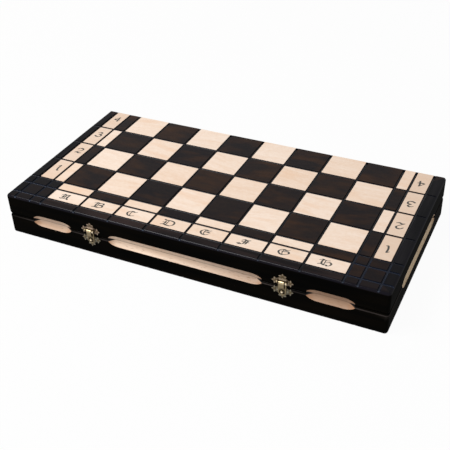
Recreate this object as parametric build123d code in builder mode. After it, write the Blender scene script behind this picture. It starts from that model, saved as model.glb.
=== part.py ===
from build123d import *
from math import asin, cos, sin
import os

os.makedirs("parts", exist_ok=True)

# A folding chess case, closed. Two equal shallow trays are hinged along the back and
# latched at the front, and each carries half of the playing board on its outside.
# X runs along the files from A to H, the front with its latches is at -Y, the hinged
# back at +Y. The origin is the middle of the underside.
case_length = 421.6
case_depth = 208.7
tray_height = 24.4
rail_width = 14.0
lining_thickness = 1.0

# Rounding of the rails' outer edges
corner_radius = 3.5
rim_radius = 3.0
parting_radius = 2.8

# The board: eight files by four ranks on each tray, then a narrow stripe of cells and a
# band of lettered tiles on three sides. All cells are veneer laid between grooves. The
# trays were planed along their hinged edges, so the rank there is a little narrower.
pitch = 41.5
hinge_edge_trim = 1.3
files = 8
ranks = 4
stripe_width = 13.8
label_width = 19.2
groove_width = 2.8
groove_depth = 1.6
veneer_thickness = 0.6
core_thickness = 4.0

# The finger coves, cut across the parting line by a disc with a rounded rim
cove_height = 13.0
cove_depth = 3.5
cove_disc_radius = 26.0
long_cove_x = 1.2
long_cove_travel = 147.0
left_cove_x = -154.6
right_cove_x = 155.6
short_cove_travel = 22.8
side_cove_travel = 98.5
side_cove_y = 2.6

# The butt hinges, let into the parting faces of the back rails
hinge_x = 120.0
hinge_length = 40.0
hinge_gap = 0.15
leaf_thickness = 1.0
leaf_depth = 9.0
knuckle_count = 5
knuckle_radius = 2.2
knuckle_gap = 0.2
knuckle_clearance = 0.3
hinge_pin_radius = 1.0
running_clearance = 0.05
screw_spacing = 13.0
screw_head_radius = 2.0
screw_shank_radius = 1.0
screw_length = 9.0
screw_slot_width = 0.5
screw_slot_depth = 0.4

# The latches: leaf-shaped plates, a hooded hasp with a ring, and a domed stud.
# Rises are above the parting line, standoffs are outwards from the front face.
latch_places = {"left": -105.3, "right": 108.5}
plate_thickness = 0.6
latch_plate_rise = 6.35
strike_plate_rise = -4.2
side_leaf_reach = 11.2
end_leaf_reach = 9.3
plate_half_width = 5.2
plate_edge = 3.6
hasp_axis_rise = 6.9
hasp_axis_standoff = 2.4
hasp_barrel_radius = 1.7
hasp_barrel_half = 3.5
plate_barrel_gap = 0.2
plate_barrel_length = 1.7
hasp_pin_radius = 0.7
hood_half_width = 2.95
hood_standoff = 4.1
hood_wall = 0.6
hood_bottom_rise = 1.6
hood_foot_rise = -0.6
strap_half_width = 4.2
strap_clearance = 0.5
ring_rise = -4.9
ring_radius = 4.2
ring_hole_radius = 2.55
ring_back_standoff = 0.8
ring_front_standoff = 1.6
stud_radius = 1.9
stud_dome_base = 1.5
stud_standoff = 2.7
stud_shank_radius = 1.1
stud_shank_length = 6.0
nail_head_radius = 1.0
nail_head_height = 0.45
nail_shank_radius = 0.45
nail_length = 7.0
nail_reach_side = 7.9
nail_reach_end = 6.1

# A leaf of a plate from its tip to its neck: a notch, a side point and the neck, each as
# how far back from the tip it is and how far to the side
leaf_profile = [(1.6, 1.9), (2.8, 4.1), (4.6, 2.9)]

parting_z = tray_height
front_y = -case_depth / 2
back_y = case_depth / 2
side_x = case_length / 2
pocket_depth = core_thickness + veneer_thickness
parting_plane = Plane.XY.offset(parting_z)
latch_plate_z = parting_z + latch_plate_rise
strike_plate_z = parting_z + strike_plate_rise
hasp_axis_z = parting_z + hasp_axis_rise
hood_bottom_z = parting_z + hood_bottom_rise
hood_foot_z = parting_z + hood_foot_rise
ring_z = parting_z + ring_rise

# Grid lines across the board, outwards from the middle file line and forwards from the
# hinged edge
field_edge_x = files * pitch / 2
stripe_edge_x = field_edge_x + stripe_width
label_edge_x = stripe_edge_x + label_width
file_lines = [pitch * (i - files / 2) for i in range(files + 1)]
grid_x = [-label_edge_x, -stripe_edge_x, *file_lines, stripe_edge_x, label_edge_x]
rank_lines = [back_y]
rank_lines += [back_y + hinge_edge_trim - pitch * (i + 1) for i in range(ranks)]
stripe_edge_y = rank_lines[-1] - stripe_width
label_edge_y = stripe_edge_y - label_width
grid_y = [label_edge_y, stripe_edge_y, *reversed(rank_lines)]


def front_face(x, z):
    """A plane on the front face, with its X along the case, its Y up and its Z outwards."""
    return Plane(origin=(x, front_y, z), x_dir=(1, 0, 0), z_dir=(0, -1, 0))


def block(low, high):
    """A box from its lowest to its highest corner, in the part that is being built."""
    size = [b - a for a, b in zip(low, high)]
    with Locations(low):
        Box(*size, align=(Align.MIN, Align.MIN, Align.MIN))


def dome(radius, base, top):
    """The arc of a round head's profile, from its rim in to its crown on the axis."""
    height = top - base
    sphere_radius = (radius**2 + height**2) / (2 * height)
    half_angle = asin(radius / sphere_radius) / 2
    middle = Vector(sphere_radius * sin(half_angle), top - sphere_radius * (1 - cos(half_angle)))
    return ThreePointArc((radius, base), middle, (0, top))


# The outer form of one tray, with its edges rounded except along the hinged back
with BuildPart() as tray_form:
    Box(case_length, case_depth, tray_height, align=(Align.CENTER, Align.CENTER, Align.MIN))
    fillet(tray_form.edges().filter_by(Axis.Z).group_by(Axis.Y)[0], radius=corner_radius)
    for height, radius in ((0, rim_radius), (-1, parting_radius)):
        outline = tray_form.faces().filter_by(Axis.Z).sort_by(Axis.Z)[height].edges()
        rounded = outline.filter_by(lambda edge: edge.center().Y < back_y - 1)
        fillet(rounded, radius=radius)

# The rebate in the rails that takes the board, open at the hinged edge
with BuildPart() as board_pocket:
    block((-label_edge_x, label_edge_y, 0), (label_edge_x, back_y, pocket_depth))

# The grooves between the cells run on across the rim to the outer faces
groove_radius = (groove_width**2 / 4 + groove_depth**2) / (2 * groove_depth)
groove_axis_z = groove_depth - groove_radius
with BuildPart() as grooves:
    with Locations(*[(x, 0, groove_axis_z) for x in grid_x]):
        Cylinder(groove_radius, case_depth + 2, rotation=(90, 0, 0))
    with Locations(*[(0, y, groove_axis_z) for y in grid_y[:-1]]):
        Cylinder(groove_radius, case_length + 2, rotation=(0, 90, 0))


def cove_cutter(face, travel):
    """The space that the disc sweeps: straight for its travel, and round at both ends."""
    radius = (cove_height**2 / 4 + cove_depth**2) / (2 * cove_depth)
    inset = radius - cove_depth
    turn = cove_disc_radius - cove_depth
    path_plane = Plane(origin=face.origin, x_dir=face.x_dir, z_dir=-face.y_dir)
    with BuildPart() as cutter:
        with BuildLine(path_plane) as path:
            CenterArc((-travel / 2, turn), turn - inset, 180, 90)
            Line((-travel / 2, inset), (travel / 2, inset))
            CenterArc((travel / 2, turn), turn - inset, 270, 90)
        with BuildSketch(path.line ^ 0):
            Circle(radius)
        sweep(path=path.line)
    return cutter.part


left_face = Plane(origin=(-side_x, side_cove_y, parting_z), x_dir=(0, 1, 0), z_dir=(-1, 0, 0))
right_face = Plane(origin=(side_x, side_cove_y, parting_z), x_dir=(0, 1, 0), z_dir=(1, 0, 0))
coves = {
    "front": [
        cove_cutter(front_face(long_cove_x, parting_z), long_cove_travel),
        cove_cutter(front_face(left_cove_x, parting_z), short_cove_travel),
        cove_cutter(front_face(right_cove_x, parting_z), short_cove_travel),
    ],
    "back": [],
    "left": [cove_cutter(left_face, side_cove_travel)],
    "right": [cove_cutter(right_face, side_cove_travel)],
}

# Hinge screws stand head up in the lower leaves, and are mirrored for the upper ones
hinge_axis_y = back_y + hinge_gap
leaf_back_y = hinge_axis_y - knuckle_radius - knuckle_clearance
leaf_front_y = leaf_back_y - leaf_depth
screw_y = (leaf_front_y + leaf_back_y) / 2
screw_places = [
    (side * hinge_x + step * screw_spacing, screw_y, parting_z)
    for side in (-1, 1)
    for step in (-1, 0, 1)
]
with BuildPart() as screw:
    with BuildSketch(Plane.XZ):
        with BuildLine():
            Polyline(
                (0, 0),
                (screw_head_radius, 0),
                (screw_shank_radius, -leaf_thickness),
                (screw_shank_radius, -screw_length + 2 * screw_shank_radius),
                (0, -screw_length),
                close=True,
            )
        make_face()
    revolve(axis=Axis.Z)
with BuildPart() as screw_holes:
    with Locations(*screw_places):
        add(screw.part)


def hinge_leaf(x, own_knuckles, bore_radius):
    """A leaf as it lies on the lower tray, with the knuckles that it carries."""
    low_x = x - hinge_length / 2
    step = (hinge_length + knuckle_gap) / knuckle_count
    with BuildPart() as leaf:
        block(
            (low_x, leaf_front_y, parting_z - leaf_thickness),
            (low_x + hinge_length, leaf_back_y, parting_z),
        )
        for index in own_knuckles:
            start = low_x + index * step
            end = start + step - knuckle_gap
            block(
                (start, leaf_back_y, parting_z - leaf_thickness),
                (end, hinge_axis_y, parting_z),
            )
            with Locations(((start + end) / 2, hinge_axis_y, parting_z)):
                Cylinder(knuckle_radius, end - start, rotation=(0, 90, 0))
        with Locations((x, hinge_axis_y, parting_z)):
            Cylinder(bore_radius, hinge_length + 2, rotation=(0, 90, 0), mode=Mode.SUBTRACT)
        add(screw_holes.part, mode=Mode.SUBTRACT)
    return leaf.part


# The space that a hinge takes out of a back rail
with BuildPart() as hinge_recesses:
    for x in (-hinge_x, hinge_x):
        block(
            (x - hinge_length / 2, leaf_front_y, parting_z - leaf_thickness),
            (x + hinge_length / 2, back_y + 1, parting_z),
        )
        with Locations((x, hinge_axis_y, parting_z)):
            Cylinder(knuckle_radius + knuckle_clearance, hinge_length, rotation=(0, 90, 0))

# Latch nails: three for each plate, one in each leaf
with BuildPart() as nail:
    with BuildSketch(Plane.XZ):
        with BuildLine():
            Line((0, -nail_length), (nail_shank_radius, -nail_length + 2 * nail_shank_radius))
            Line((nail_shank_radius, -nail_length + 2 * nail_shank_radius), (nail_shank_radius, 0))
            Line((nail_shank_radius, 0), (nail_head_radius, 0))
            dome(nail_head_radius, 0, nail_head_height)
            Line((0, nail_head_height), (0, -nail_length))
        make_face()
    revolve(axis=Axis.Z)


def nail_set(plate_z, up):
    """The nails of both latches' plates on one tray."""
    with BuildPart() as nails:
        for x in latch_places.values():
            with Locations(front_face(x, plate_z).offset(plate_thickness)):
                with Locations(
                    (-nail_reach_side, 0), (nail_reach_side, 0), (0, up * nail_reach_end)
                ):
                    add(nail.part)
    return nails.part


nails = {"lower": nail_set(strike_plate_z, -1), "upper": nail_set(latch_plate_z, 1)}

# The domed stud that the hasp's ring drops over, with its shank in the lower front rail
with BuildPart() as stud:
    with BuildSketch(Plane.XZ):
        with BuildLine():
            Line((0, -stud_shank_length), (stud_shank_radius, -stud_shank_length))
            Line((stud_shank_radius, -stud_shank_length), (stud_shank_radius, plate_thickness))
            Line((stud_shank_radius, plate_thickness), (stud_radius, plate_thickness))
            Line((stud_radius, plate_thickness), (stud_radius, stud_dome_base))
            dome(stud_radius, stud_dome_base, stud_standoff)
            Line((0, stud_standoff), (0, -stud_shank_length))
        make_face()
    revolve(axis=Axis.Z)
with BuildPart() as studs:
    with Locations(*[front_face(x, ring_z) for x in latch_places.values()]):
        add(stud.part)

# Rails in plan, mitred at the corners
inner_x = side_x - rail_width
inner_front_y = front_y + rail_width
inner_back_y = back_y - rail_width
rail_plans = {
    "front": [
        (-side_x, front_y), (side_x, front_y), (inner_x, inner_front_y), (-inner_x, inner_front_y)
    ],
    "back": [
        (-side_x, back_y), (side_x, back_y), (inner_x, inner_back_y), (-inner_x, inner_back_y)
    ],
    "left": [
        (-side_x, front_y), (-side_x, back_y), (-inner_x, inner_back_y), (-inner_x, inner_front_y)
    ],
    "right": [
        (side_x, front_y), (side_x, back_y), (inner_x, inner_back_y), (inner_x, inner_front_y)
    ],
}


def is_light(column, row, tray):
    """Whether a cell is light, counting columns from the left and rows from the front.

    Column 0 and the last hold the side tiles, and row 0 the front tiles, all of them
    light. The next ones in are the stripes, which carry the squares' pattern outwards.
    """
    last_column = len(grid_x) - 2
    in_side_band = column < 2 or column > last_column - 2
    if in_side_band and row < 2:
        return False
    if column in (0, last_column) or row == 0:
        return True
    lightest = 1 if tray == "upper" else 0
    return (column + row) % 2 == lightest


def cell_places(light, tray):
    """The low and high corners in plan of a tray's light cells, or of its dark ones."""
    places = []
    for column, (x0, x1) in enumerate(zip(grid_x, grid_x[1:])):
        for row, (y0, y1) in enumerate(zip(grid_y, grid_y[1:])):
            back_inset = 0 if row == len(grid_y) - 2 else groove_width / 2
            low = (x0 + groove_width / 2, y0 + groove_width / 2)
            high = (x1 - groove_width / 2, y1 - back_inset)
            if is_light(column, row, tray) == light:
                places.append((low, high))
    return places


for tray in ("lower", "upper"):
    # Four mitred rails
    for side, plan in rail_plans.items():
        with BuildPart() as rail:
            with BuildSketch(Plane.XY):
                with BuildLine():
                    Polyline(*plan, close=True)
                make_face()
            extrude(amount=tray_height)
            for cove in coves[side]:
                add(cove, mode=Mode.SUBTRACT)
            add(tray_form.part, mode=Mode.INTERSECT)
            add(board_pocket.part, mode=Mode.SUBTRACT)
            add(grooves.part, mode=Mode.SUBTRACT)
            if side == "back":
                add(hinge_recesses.part, mode=Mode.SUBTRACT)
                add(screw_holes.part, mode=Mode.SUBTRACT)
            if tray == "upper":
                mirror(about=parting_plane, mode=Mode.REPLACE)
            if side == "front":
                add(nails[tray], mode=Mode.SUBTRACT)
            if side == "front" and tray == "lower":
                add(studs.part, mode=Mode.SUBTRACT)
        rail.part.label = f"{tray}_{side}_rail"
        export_step(rail.part, f"parts/{tray}_{side}_rail.step")

    # The board's plywood core, grooved along the grid
    with BuildPart() as core:
        block((-label_edge_x, label_edge_y, veneer_thickness), (label_edge_x, back_y, pocket_depth))
        add(grooves.part, mode=Mode.SUBTRACT)
        if tray == "upper":
            mirror(about=parting_plane, mode=Mode.REPLACE)
    core.part.label = f"{tray}_board_core"
    export_step(core.part, f"parts/{tray}_board_core.step")

    # Veneer cells: the light ones and the dark ones
    for shade, light in (("light", True), ("dark", False)):
        with BuildPart() as cells:
            for low, high in cell_places(light, tray):
                block((*low, 0), (*high, veneer_thickness))
            if tray == "upper":
                mirror(about=parting_plane, mode=Mode.REPLACE)
        cells.part.label = f"{tray}_{shade}_cells"
        export_step(cells.part, f"parts/{tray}_{shade}_cells.step")

    # The lining on the tray's floor
    with BuildPart() as lining:
        block(
            (-inner_x, inner_front_y, pocket_depth),
            (inner_x, inner_back_y, pocket_depth + lining_thickness),
        )
        if tray == "upper":
            mirror(about=parting_plane, mode=Mode.REPLACE)
    lining.part.label = f"{tray}_lining"
    export_step(lining.part, f"parts/{tray}_lining.step")

    # The screws of both hinges in this tray, slotted
    with BuildPart() as screws:
        with Locations(*screw_places):
            add(screw.part)
        with Locations(*screw_places):
            Box(
                2 * screw_head_radius,
                screw_slot_width,
                2 * screw_slot_depth,
                mode=Mode.SUBTRACT,
            )
        if tray == "upper":
            mirror(about=parting_plane, mode=Mode.REPLACE)
    screws.part.label = f"{tray}_hinge_screws"
    export_step(screws.part, f"parts/{tray}_hinge_screws.step")

    # The nails of both latches in this tray
    with BuildPart() as latch_nails:
        add(nails[tray])
    latch_nails.part.label = f"{tray}_latch_nails"
    export_step(latch_nails.part, f"parts/{tray}_latch_nails.step")

# The hinges: the lower leaf holds the pin, the upper one turns on it
lower_knuckles = range(0, knuckle_count, 2)
upper_knuckles = range(1, knuckle_count, 2)
for hand, x in (("left", -hinge_x), ("right", hinge_x)):
    with BuildPart() as lower_leaf:
        add(hinge_leaf(x, lower_knuckles, hinge_pin_radius))
    lower_leaf.part.label = f"{hand}_hinge_lower_leaf"
    export_step(lower_leaf.part, f"parts/{hand}_hinge_lower_leaf.step")

    with BuildPart() as upper_leaf:
        add(hinge_leaf(x, upper_knuckles, hinge_pin_radius + running_clearance))
        mirror(about=parting_plane, mode=Mode.REPLACE)
    upper_leaf.part.label = f"{hand}_hinge_upper_leaf"
    export_step(upper_leaf.part, f"parts/{hand}_hinge_upper_leaf.step")

    with BuildPart() as hinge_pin:
        with Locations((x, hinge_axis_y, parting_z)):
            Cylinder(hinge_pin_radius, hinge_length, rotation=(0, 90, 0))
    hinge_pin.part.label = f"{hand}_hinge_pin"
    export_step(hinge_pin.part, f"parts/{hand}_hinge_pin.step")


def plate_outline(up):
    """One half of a latch plate's edge, as leaves round a middle body.

    Each leaf has a tip and two side points with notches between them. The plate's straight
    edge is on the side away from up.
    """
    end_leaf = [(spread, up * (end_leaf_reach - back)) for back, spread in leaf_profile]
    side_leaf = [(side_leaf_reach - back, up * spread) for back, spread in leaf_profile]
    return [
        (0, up * end_leaf_reach),
        *end_leaf,
        *reversed(side_leaf),
        (side_leaf_reach, 0),
        *[(x, -y) for x, y in side_leaf],
        (plate_half_width, up * -plate_edge),
        (0, up * -plate_edge),
    ]


def latch_plate(x, z, up):
    """A flat leaf-shaped plate on the front face."""
    with BuildPart() as plate:
        with BuildSketch(front_face(x, z)):
            with BuildLine():
                Polyline(*plate_outline(up))
                mirror(about=Plane.YZ)
            make_face()
        extrude(amount=plate_thickness)
    return plate.part


# The latches, one at each side of the front
hasp_axis_y = front_y - hasp_axis_standoff
plate_barrel_inner = hasp_barrel_half + plate_barrel_gap
plate_barrel_outer = plate_barrel_inner + plate_barrel_length
barrel_foot_z = hasp_axis_z - hasp_barrel_radius
for hand, x in latch_places.items():
    # The upper plate, with the two barrels that hold the pin
    with BuildPart() as latch:
        add(latch_plate(x, latch_plate_z, 1))
        for side in (-1, 1):
            middle = x + side * (plate_barrel_inner + plate_barrel_outer) / 2
            block(
                (middle - plate_barrel_length / 2, hasp_axis_y, barrel_foot_z),
                (middle + plate_barrel_length / 2, front_y, hasp_axis_z),
            )
            with Locations((middle, hasp_axis_y, hasp_axis_z)):
                Cylinder(hasp_barrel_radius, plate_barrel_length, rotation=(0, 90, 0))
        with Locations((x, hasp_axis_y, hasp_axis_z)):
            Cylinder(
                hasp_pin_radius, 2 * plate_barrel_outer + 2, rotation=(0, 90, 0), mode=Mode.SUBTRACT
            )
        add(nails["upper"], mode=Mode.SUBTRACT)
    latch.part.label = f"{hand}_latch_plate"
    export_step(latch.part, f"parts/{hand}_latch_plate.step")

    with BuildPart() as hasp_pin:
        with Locations((x, hasp_axis_y, hasp_axis_z)):
            Cylinder(hasp_pin_radius, 2 * plate_barrel_outer, rotation=(0, 90, 0))
    hasp_pin.part.label = f"{hand}_hasp_pin"
    export_step(hasp_pin.part, f"parts/{hand}_hasp_pin.step")

    # The hasp: a barrel on the pin, a hood pressed out of a flat strap, and a ring at the
    # strap's foot
    with BuildPart() as hasp:
        strap_plane = front_face(x, 0).offset(ring_back_standoff)
        strap_top_z = barrel_foot_z - strap_clearance
        with BuildSketch(strap_plane):
            with Locations((0, (ring_z + strap_top_z) / 2)):
                Rectangle(2 * strap_half_width, strap_top_z - ring_z)
            with Locations((0, ring_z)):
                Circle(ring_radius)
        extrude(amount=ring_front_standoff - ring_back_standoff)
        hood_side = Plane(origin=(x, front_y, 0), x_dir=(0, -1, 0), z_dir=(-1, 0, 0))
        with BuildSketch(hood_side):
            with BuildLine():
                Polyline(
                    (hood_standoff, hasp_axis_z),
                    (hood_standoff, hood_bottom_z),
                    (ring_front_standoff, hood_foot_z),
                    (ring_back_standoff, hood_foot_z),
                    (ring_back_standoff, barrel_foot_z),
                    (hasp_axis_standoff, hasp_axis_z),
                    close=True,
                )
            make_face()
        extrude(amount=hood_half_width, both=True)
        with BuildSketch(hood_side):
            with BuildLine():
                Polyline(
                    (hood_standoff - hood_wall, barrel_foot_z),
                    (hood_standoff - hood_wall, hood_bottom_z),
                    (ring_back_standoff, hood_foot_z + hood_wall),
                    (ring_back_standoff, barrel_foot_z),
                    close=True,
                )
            make_face()
        extrude(amount=hood_half_width - hood_wall, both=True, mode=Mode.SUBTRACT)
        with Locations((x, hasp_axis_y, hasp_axis_z)):
            Cylinder(hasp_barrel_radius, 2 * hasp_barrel_half, rotation=(0, 90, 0))
            Cylinder(
                hasp_pin_radius + running_clearance,
                2 * hasp_barrel_half + 2,
                rotation=(0, 90, 0),
                mode=Mode.SUBTRACT,
            )
        with BuildSketch(strap_plane):
            with Locations((0, ring_z)):
                Circle(ring_hole_radius)
        extrude(amount=ring_front_standoff - ring_back_standoff, mode=Mode.SUBTRACT)
    hasp.part.label = f"{hand}_hasp"
    export_step(hasp.part, f"parts/{hand}_hasp.step")

    # The lower plate and the stud through it
    with BuildPart() as strike:
        add(latch_plate(x, strike_plate_z, -1))
        add(nails["lower"], mode=Mode.SUBTRACT)
        add(studs.part, mode=Mode.SUBTRACT)
    strike.part.label = f"{hand}_strike_plate"
    export_step(strike.part, f"parts/{hand}_strike_plate.step")

    with BuildPart() as strike_stud:
        with Locations(front_face(x, ring_z)):
            add(stud.part)
    strike_stud.part.label = f"{hand}_strike_stud"
    export_step(strike_stud.part, f"parts/{hand}_strike_stud.step")
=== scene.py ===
# %% [markdown]
# # A folding chess case
#
# The real object is a shallow wooden box that opens flat into a chess board. Closed, it
# shows half of the board on its lid and the other half on its underside. A measured solid
# model of it already exists, with one node for each part and one body for each thing that
# moves. This notebook dresses that model: every part keeps its place, and gets the finer
# shape and the finish that the solid model leaves out.
#
# The first cell loads the model. Its outer box is kept, because nothing made here may grow
# past it. Its outer box is kept and printed, to stand beside the finished model's box at
# the end.
# %% Load the measured model
import math
import random

import bmesh
import bpy
from mathutils import Matrix, Vector
from mathutils.geometry import convex_hull_2d, delaunay_2d_cdt


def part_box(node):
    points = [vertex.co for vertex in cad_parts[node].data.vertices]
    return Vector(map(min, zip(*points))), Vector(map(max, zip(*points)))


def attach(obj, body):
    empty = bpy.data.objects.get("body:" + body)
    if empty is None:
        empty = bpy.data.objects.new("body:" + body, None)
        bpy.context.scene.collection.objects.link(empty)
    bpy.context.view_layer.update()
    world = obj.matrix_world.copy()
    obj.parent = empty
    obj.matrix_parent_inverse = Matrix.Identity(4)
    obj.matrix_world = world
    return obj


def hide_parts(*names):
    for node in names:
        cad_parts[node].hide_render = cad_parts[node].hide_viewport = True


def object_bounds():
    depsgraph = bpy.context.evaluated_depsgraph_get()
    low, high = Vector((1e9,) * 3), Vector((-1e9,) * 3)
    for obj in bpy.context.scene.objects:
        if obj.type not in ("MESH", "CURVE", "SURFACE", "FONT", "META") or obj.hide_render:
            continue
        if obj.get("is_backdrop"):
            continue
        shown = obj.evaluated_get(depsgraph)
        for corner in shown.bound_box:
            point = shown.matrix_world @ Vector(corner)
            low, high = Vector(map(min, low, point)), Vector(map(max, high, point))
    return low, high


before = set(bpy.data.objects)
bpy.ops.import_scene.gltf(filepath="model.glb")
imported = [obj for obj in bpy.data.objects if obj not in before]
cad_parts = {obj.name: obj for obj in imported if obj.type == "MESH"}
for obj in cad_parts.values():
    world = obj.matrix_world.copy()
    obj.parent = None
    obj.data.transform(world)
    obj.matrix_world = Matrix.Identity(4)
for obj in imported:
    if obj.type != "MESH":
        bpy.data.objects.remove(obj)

cad_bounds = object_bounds()
scene = bpy.context.scene
print("CAD box, mm:", [[round(1000 * c, 2) for c in corner] for corner in cad_bounds])

# %% [markdown]
# ## The camera
#
# The photograph looks down over the front left corner. Its camera was worked out from the
# grid of squares, so it is given here as the three directions that it found, instead of by
# eye. Blender's camera looks along its own -Z, so the matrix takes the view direction
# reversed.
# %% Place the camera
camera_place = Vector((0.32634, -0.64688, 0.50734))
camera_right = Vector((0.90175572, 0.43085567, -0.03464115))
camera_up = Vector((-0.22246074, 0.53132025, 0.81744114))
camera_view = Vector((-0.37060469, 0.72942593, -0.57496955))


def new_object(name, data):
    """A new object, linked into the scene."""
    made = bpy.data.objects.new(name, data)
    scene.collection.objects.link(made)
    return made


camera = new_object("camera", bpy.data.cameras.new("camera"))
camera.data.sensor_width = 36
camera.data.lens = 64.24
turn = Matrix((camera_right, camera_up, -camera_view)).transposed()
camera.matrix_world = Matrix.Translation(camera_place) @ turn.to_4x4()
scene.camera = camera
scene.view_settings.view_transform = "Standard"
print("camera height, mm:", round(1000 * camera.location.z))

# %% [markdown]
# ## A short way to write node trees
#
# Finishes and repeated parts are both built from nodes. Written out in full, each node
# takes four or five lines, and the sum that it stands for disappears. A small class helps:
# it wraps an output socket, and Python's own operators on it add the Math nodes. So `1 -
# mask` is one Math node, and a line of shader maths reads as maths.
# %% Wrap a socket, so that sums can be written with it
class Wire:
    """An output socket. Operators on it add Math nodes, and give their output."""

    def __init__(self, nodes, socket):
        self.nodes, self.socket = nodes, socket

    def output(self, name):
        """Another output of the same node."""
        return Wire(self.nodes, self.socket.node.outputs[name])

    def __add__(self, other):
        return self.nodes.math("ADD", self, other)

    def __sub__(self, other):
        return self.nodes.math("SUBTRACT", self, other)

    def __rsub__(self, other):
        return self.nodes.math("SUBTRACT", other, self)

    def __mul__(self, other):
        return self.nodes.math("MULTIPLY", self, other)

    __radd__, __rmul__ = __add__, __mul__


class Nodes:
    """A node tree that grows by one call for each node."""

    def __init__(self, tree):
        self.tree = tree

    def plug(self, node, sockets):
        """Gives a node's sockets their links or values, and a joining socket several."""
        for key, given in sockets.items():
            for value in given if isinstance(given, list) else [given]:
                if isinstance(value, Wire):
                    self.tree.links.new(value.socket, node.inputs[key])
                else:
                    node.inputs[key].default_value = value

    def add(self, kind, sockets=None, output=0, stops=(), **settings):
        """Adds a node: its settings first, then a ramp's stops, then its sockets."""
        node = self.tree.nodes.new(kind)
        for name, value in settings.items():
            setattr(node, name, value)
        for index, (position, colour) in enumerate(stops):
            ramp = node.color_ramp.elements
            stop = ramp[index] if index < len(ramp) else ramp.new(position)
            stop.position, stop.color = position, colour
        self.plug(node, sockets or {})
        return Wire(self, node.outputs[output])

    def math(self, operation, *values):
        return self.add("ShaderNodeMath", dict(enumerate(values)), operation=operation)

    def vector_math(self, operation, *values):
        return self.add("ShaderNodeVectorMath", dict(enumerate(values)), operation=operation)

    def absolute(self, value):
        return self.math("ABSOLUTE", value)

    def split(self, vector):
        """A vector's three parts, each as a wire of its own."""
        parts = self.add("ShaderNodeSeparateXYZ", {0: vector})
        return tuple(parts.output(axis) for axis in "XYZ")

    def place(self):
        """Where the shaded point is in its object's own axes."""
        return self.add("ShaderNodeTexCoord", output="Object")

    def attribute(self, name, output="Fac"):
        """A value that the mesh carries under this name."""
        return self.add("ShaderNodeAttribute", output=output, attribute_name=name)

    def between(self, value, low, high):
        """0 where the value is below low, 1 above high, and an even slope between."""
        sockets = {"Value": value, "From Min": low, "From Max": high}
        return self.add("ShaderNodeMapRange", sockets)

    def mix(self, factor, colour_a, colour_b):
        """One colour over another. The Mix node's colour sockets are its last two."""
        sockets = {0: factor, 6: colour_a, 7: colour_b}
        return self.add("ShaderNodeMix", sockets, output=2, data_type="RGBA")


# %% [markdown]
# ## The studio
#
# The photograph's light is plain and comes mostly from above: the top is bright, the lower
# halves of the finger coves are lit and their upper halves are dim. The hoods of the
# latches show where it stands: a rounded part carries its highlight half way between the
# lamp and the camera, which puts the lamp high up, in front and to the left. A soft lamp
# there does the shading. It stands well away from the case, because a near one would light
# the near squares more than the far ones. An even white world fills the rest. The
# background is white paper. Making it white with more light would burn out the pale
# squares, so Light Path tells the world and the floor what looks at them: the camera and
# clear reflections see plain white, and the light that falls on the case stays at a level
# where a colour looks as it is written.
# %% Light the case and lay the floor
world_light, floor_white_share, floor_half_size = 0.28, 0.96, 3.0
lamp_size, lamp_power, lamp_place = (1.35, 0.81), 57.0, Vector((-1.044, -1.008, 2.016))
white, paper_grey = (1, 1, 1, 1), (0.7, 0.7, 0.7, 1)


def seen_directly(nodes):
    """1 for what the camera, a mirror or clear glass sees, 0 for light on its way."""
    rays = nodes.add("ShaderNodeLightPath", output="Is Camera Ray")
    return rays + rays.output("Is Glossy Ray") + rays.output("Is Transmission Ray")


world = bpy.data.worlds.new("white_studio")
world.use_nodes = True
scene.world = world
nodes = Nodes(world.node_tree)
strength = seen_directly(nodes) * (1 - world_light) + world_light
nodes.plug(world.node_tree.nodes["Background"], {"Color": white, "Strength": strength})

lamp = bpy.data.lights.new("overhead_lamp", "AREA")
lamp.shape, (lamp.size, lamp.size_y), lamp.energy = "RECTANGLE", lamp_size, lamp_power
overhead = new_object("overhead_lamp", lamp)
overhead.location = lamp_place
overhead.rotation_euler = (-lamp_place).to_track_quat("-Z", "Y").to_euler()

paper = bpy.data.materials.new("white_paper")
paper.use_nodes = True
nodes = Nodes(paper.node_tree)
diffuse = nodes.add("ShaderNodeBsdfDiffuse", {"Color": paper_grey})
glow = nodes.add("ShaderNodeEmission", {"Color": white, "Strength": 1.0})
share = nodes.math("MINIMUM", seen_directly(nodes), 1.0) * floor_white_share
blend = nodes.add("ShaderNodeMixShader", {0: share, 1: diffuse, 2: glow})
nodes.plug(paper.node_tree.nodes["Material Output"], {"Surface": blend})

corners = [(x * floor_half_size, y * floor_half_size, 0) for x, y in
           ((-1, -1), (1, -1), (1, 1), (-1, 1))]
floor_mesh = bpy.data.meshes.new("floor")
floor_mesh.from_pydata(corners, [], [(0, 1, 2, 3)])
floor_mesh.materials.append(paper)
floor = new_object("floor", floor_mesh)
floor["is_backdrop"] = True
print("floor and lamp placed, lamp", lamp.energy, "W")

# %% [markdown]
# ## Wood finishes
#
# Every wooden surface here starts from the same thing: grain, which is a noise squeezed
# across one axis so that it draws out into streaks. A photograph of wood would also do, but
# it repeats and has to be fitted to each part. A noise on Object coordinates is solid, so
# it runs through a rail as real grain does. Two sizes are used: slow streaks that change
# the colour, and fine pores that catch the light. The board's two front corners are darker
# than the rest of it in every finish, so a helper marks them.
# %% Grain that any wood can use
def srgb(red, green, blue):
    """A colour as a screen shows it, 0 to 255, in the linear values that sockets take."""
    return (*[((c / 255 + 0.055) / 1.055) ** 2.4 for c in (red, green, blue)], 1)


def new_finish(name):
    """A material with its Principled shader, and its tree wrapped for short calls."""
    material = bpy.data.materials.new(name)
    material.use_nodes = True
    return material, Nodes(material.node_tree), material.node_tree.nodes["Principled BSDF"]


def noise(nodes, place, stretch, detail=4.0, roughness=0.55):
    """A noise whose scale along each axis is given in waves a metre."""
    squeezed = nodes.vector_math("MULTIPLY", place, stretch)
    sockets = {"Vector": squeezed, "Scale": 1.0, "Detail": detail, "Roughness": roughness}
    return nodes.add("ShaderNodeTexNoise", sockets)


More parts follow.
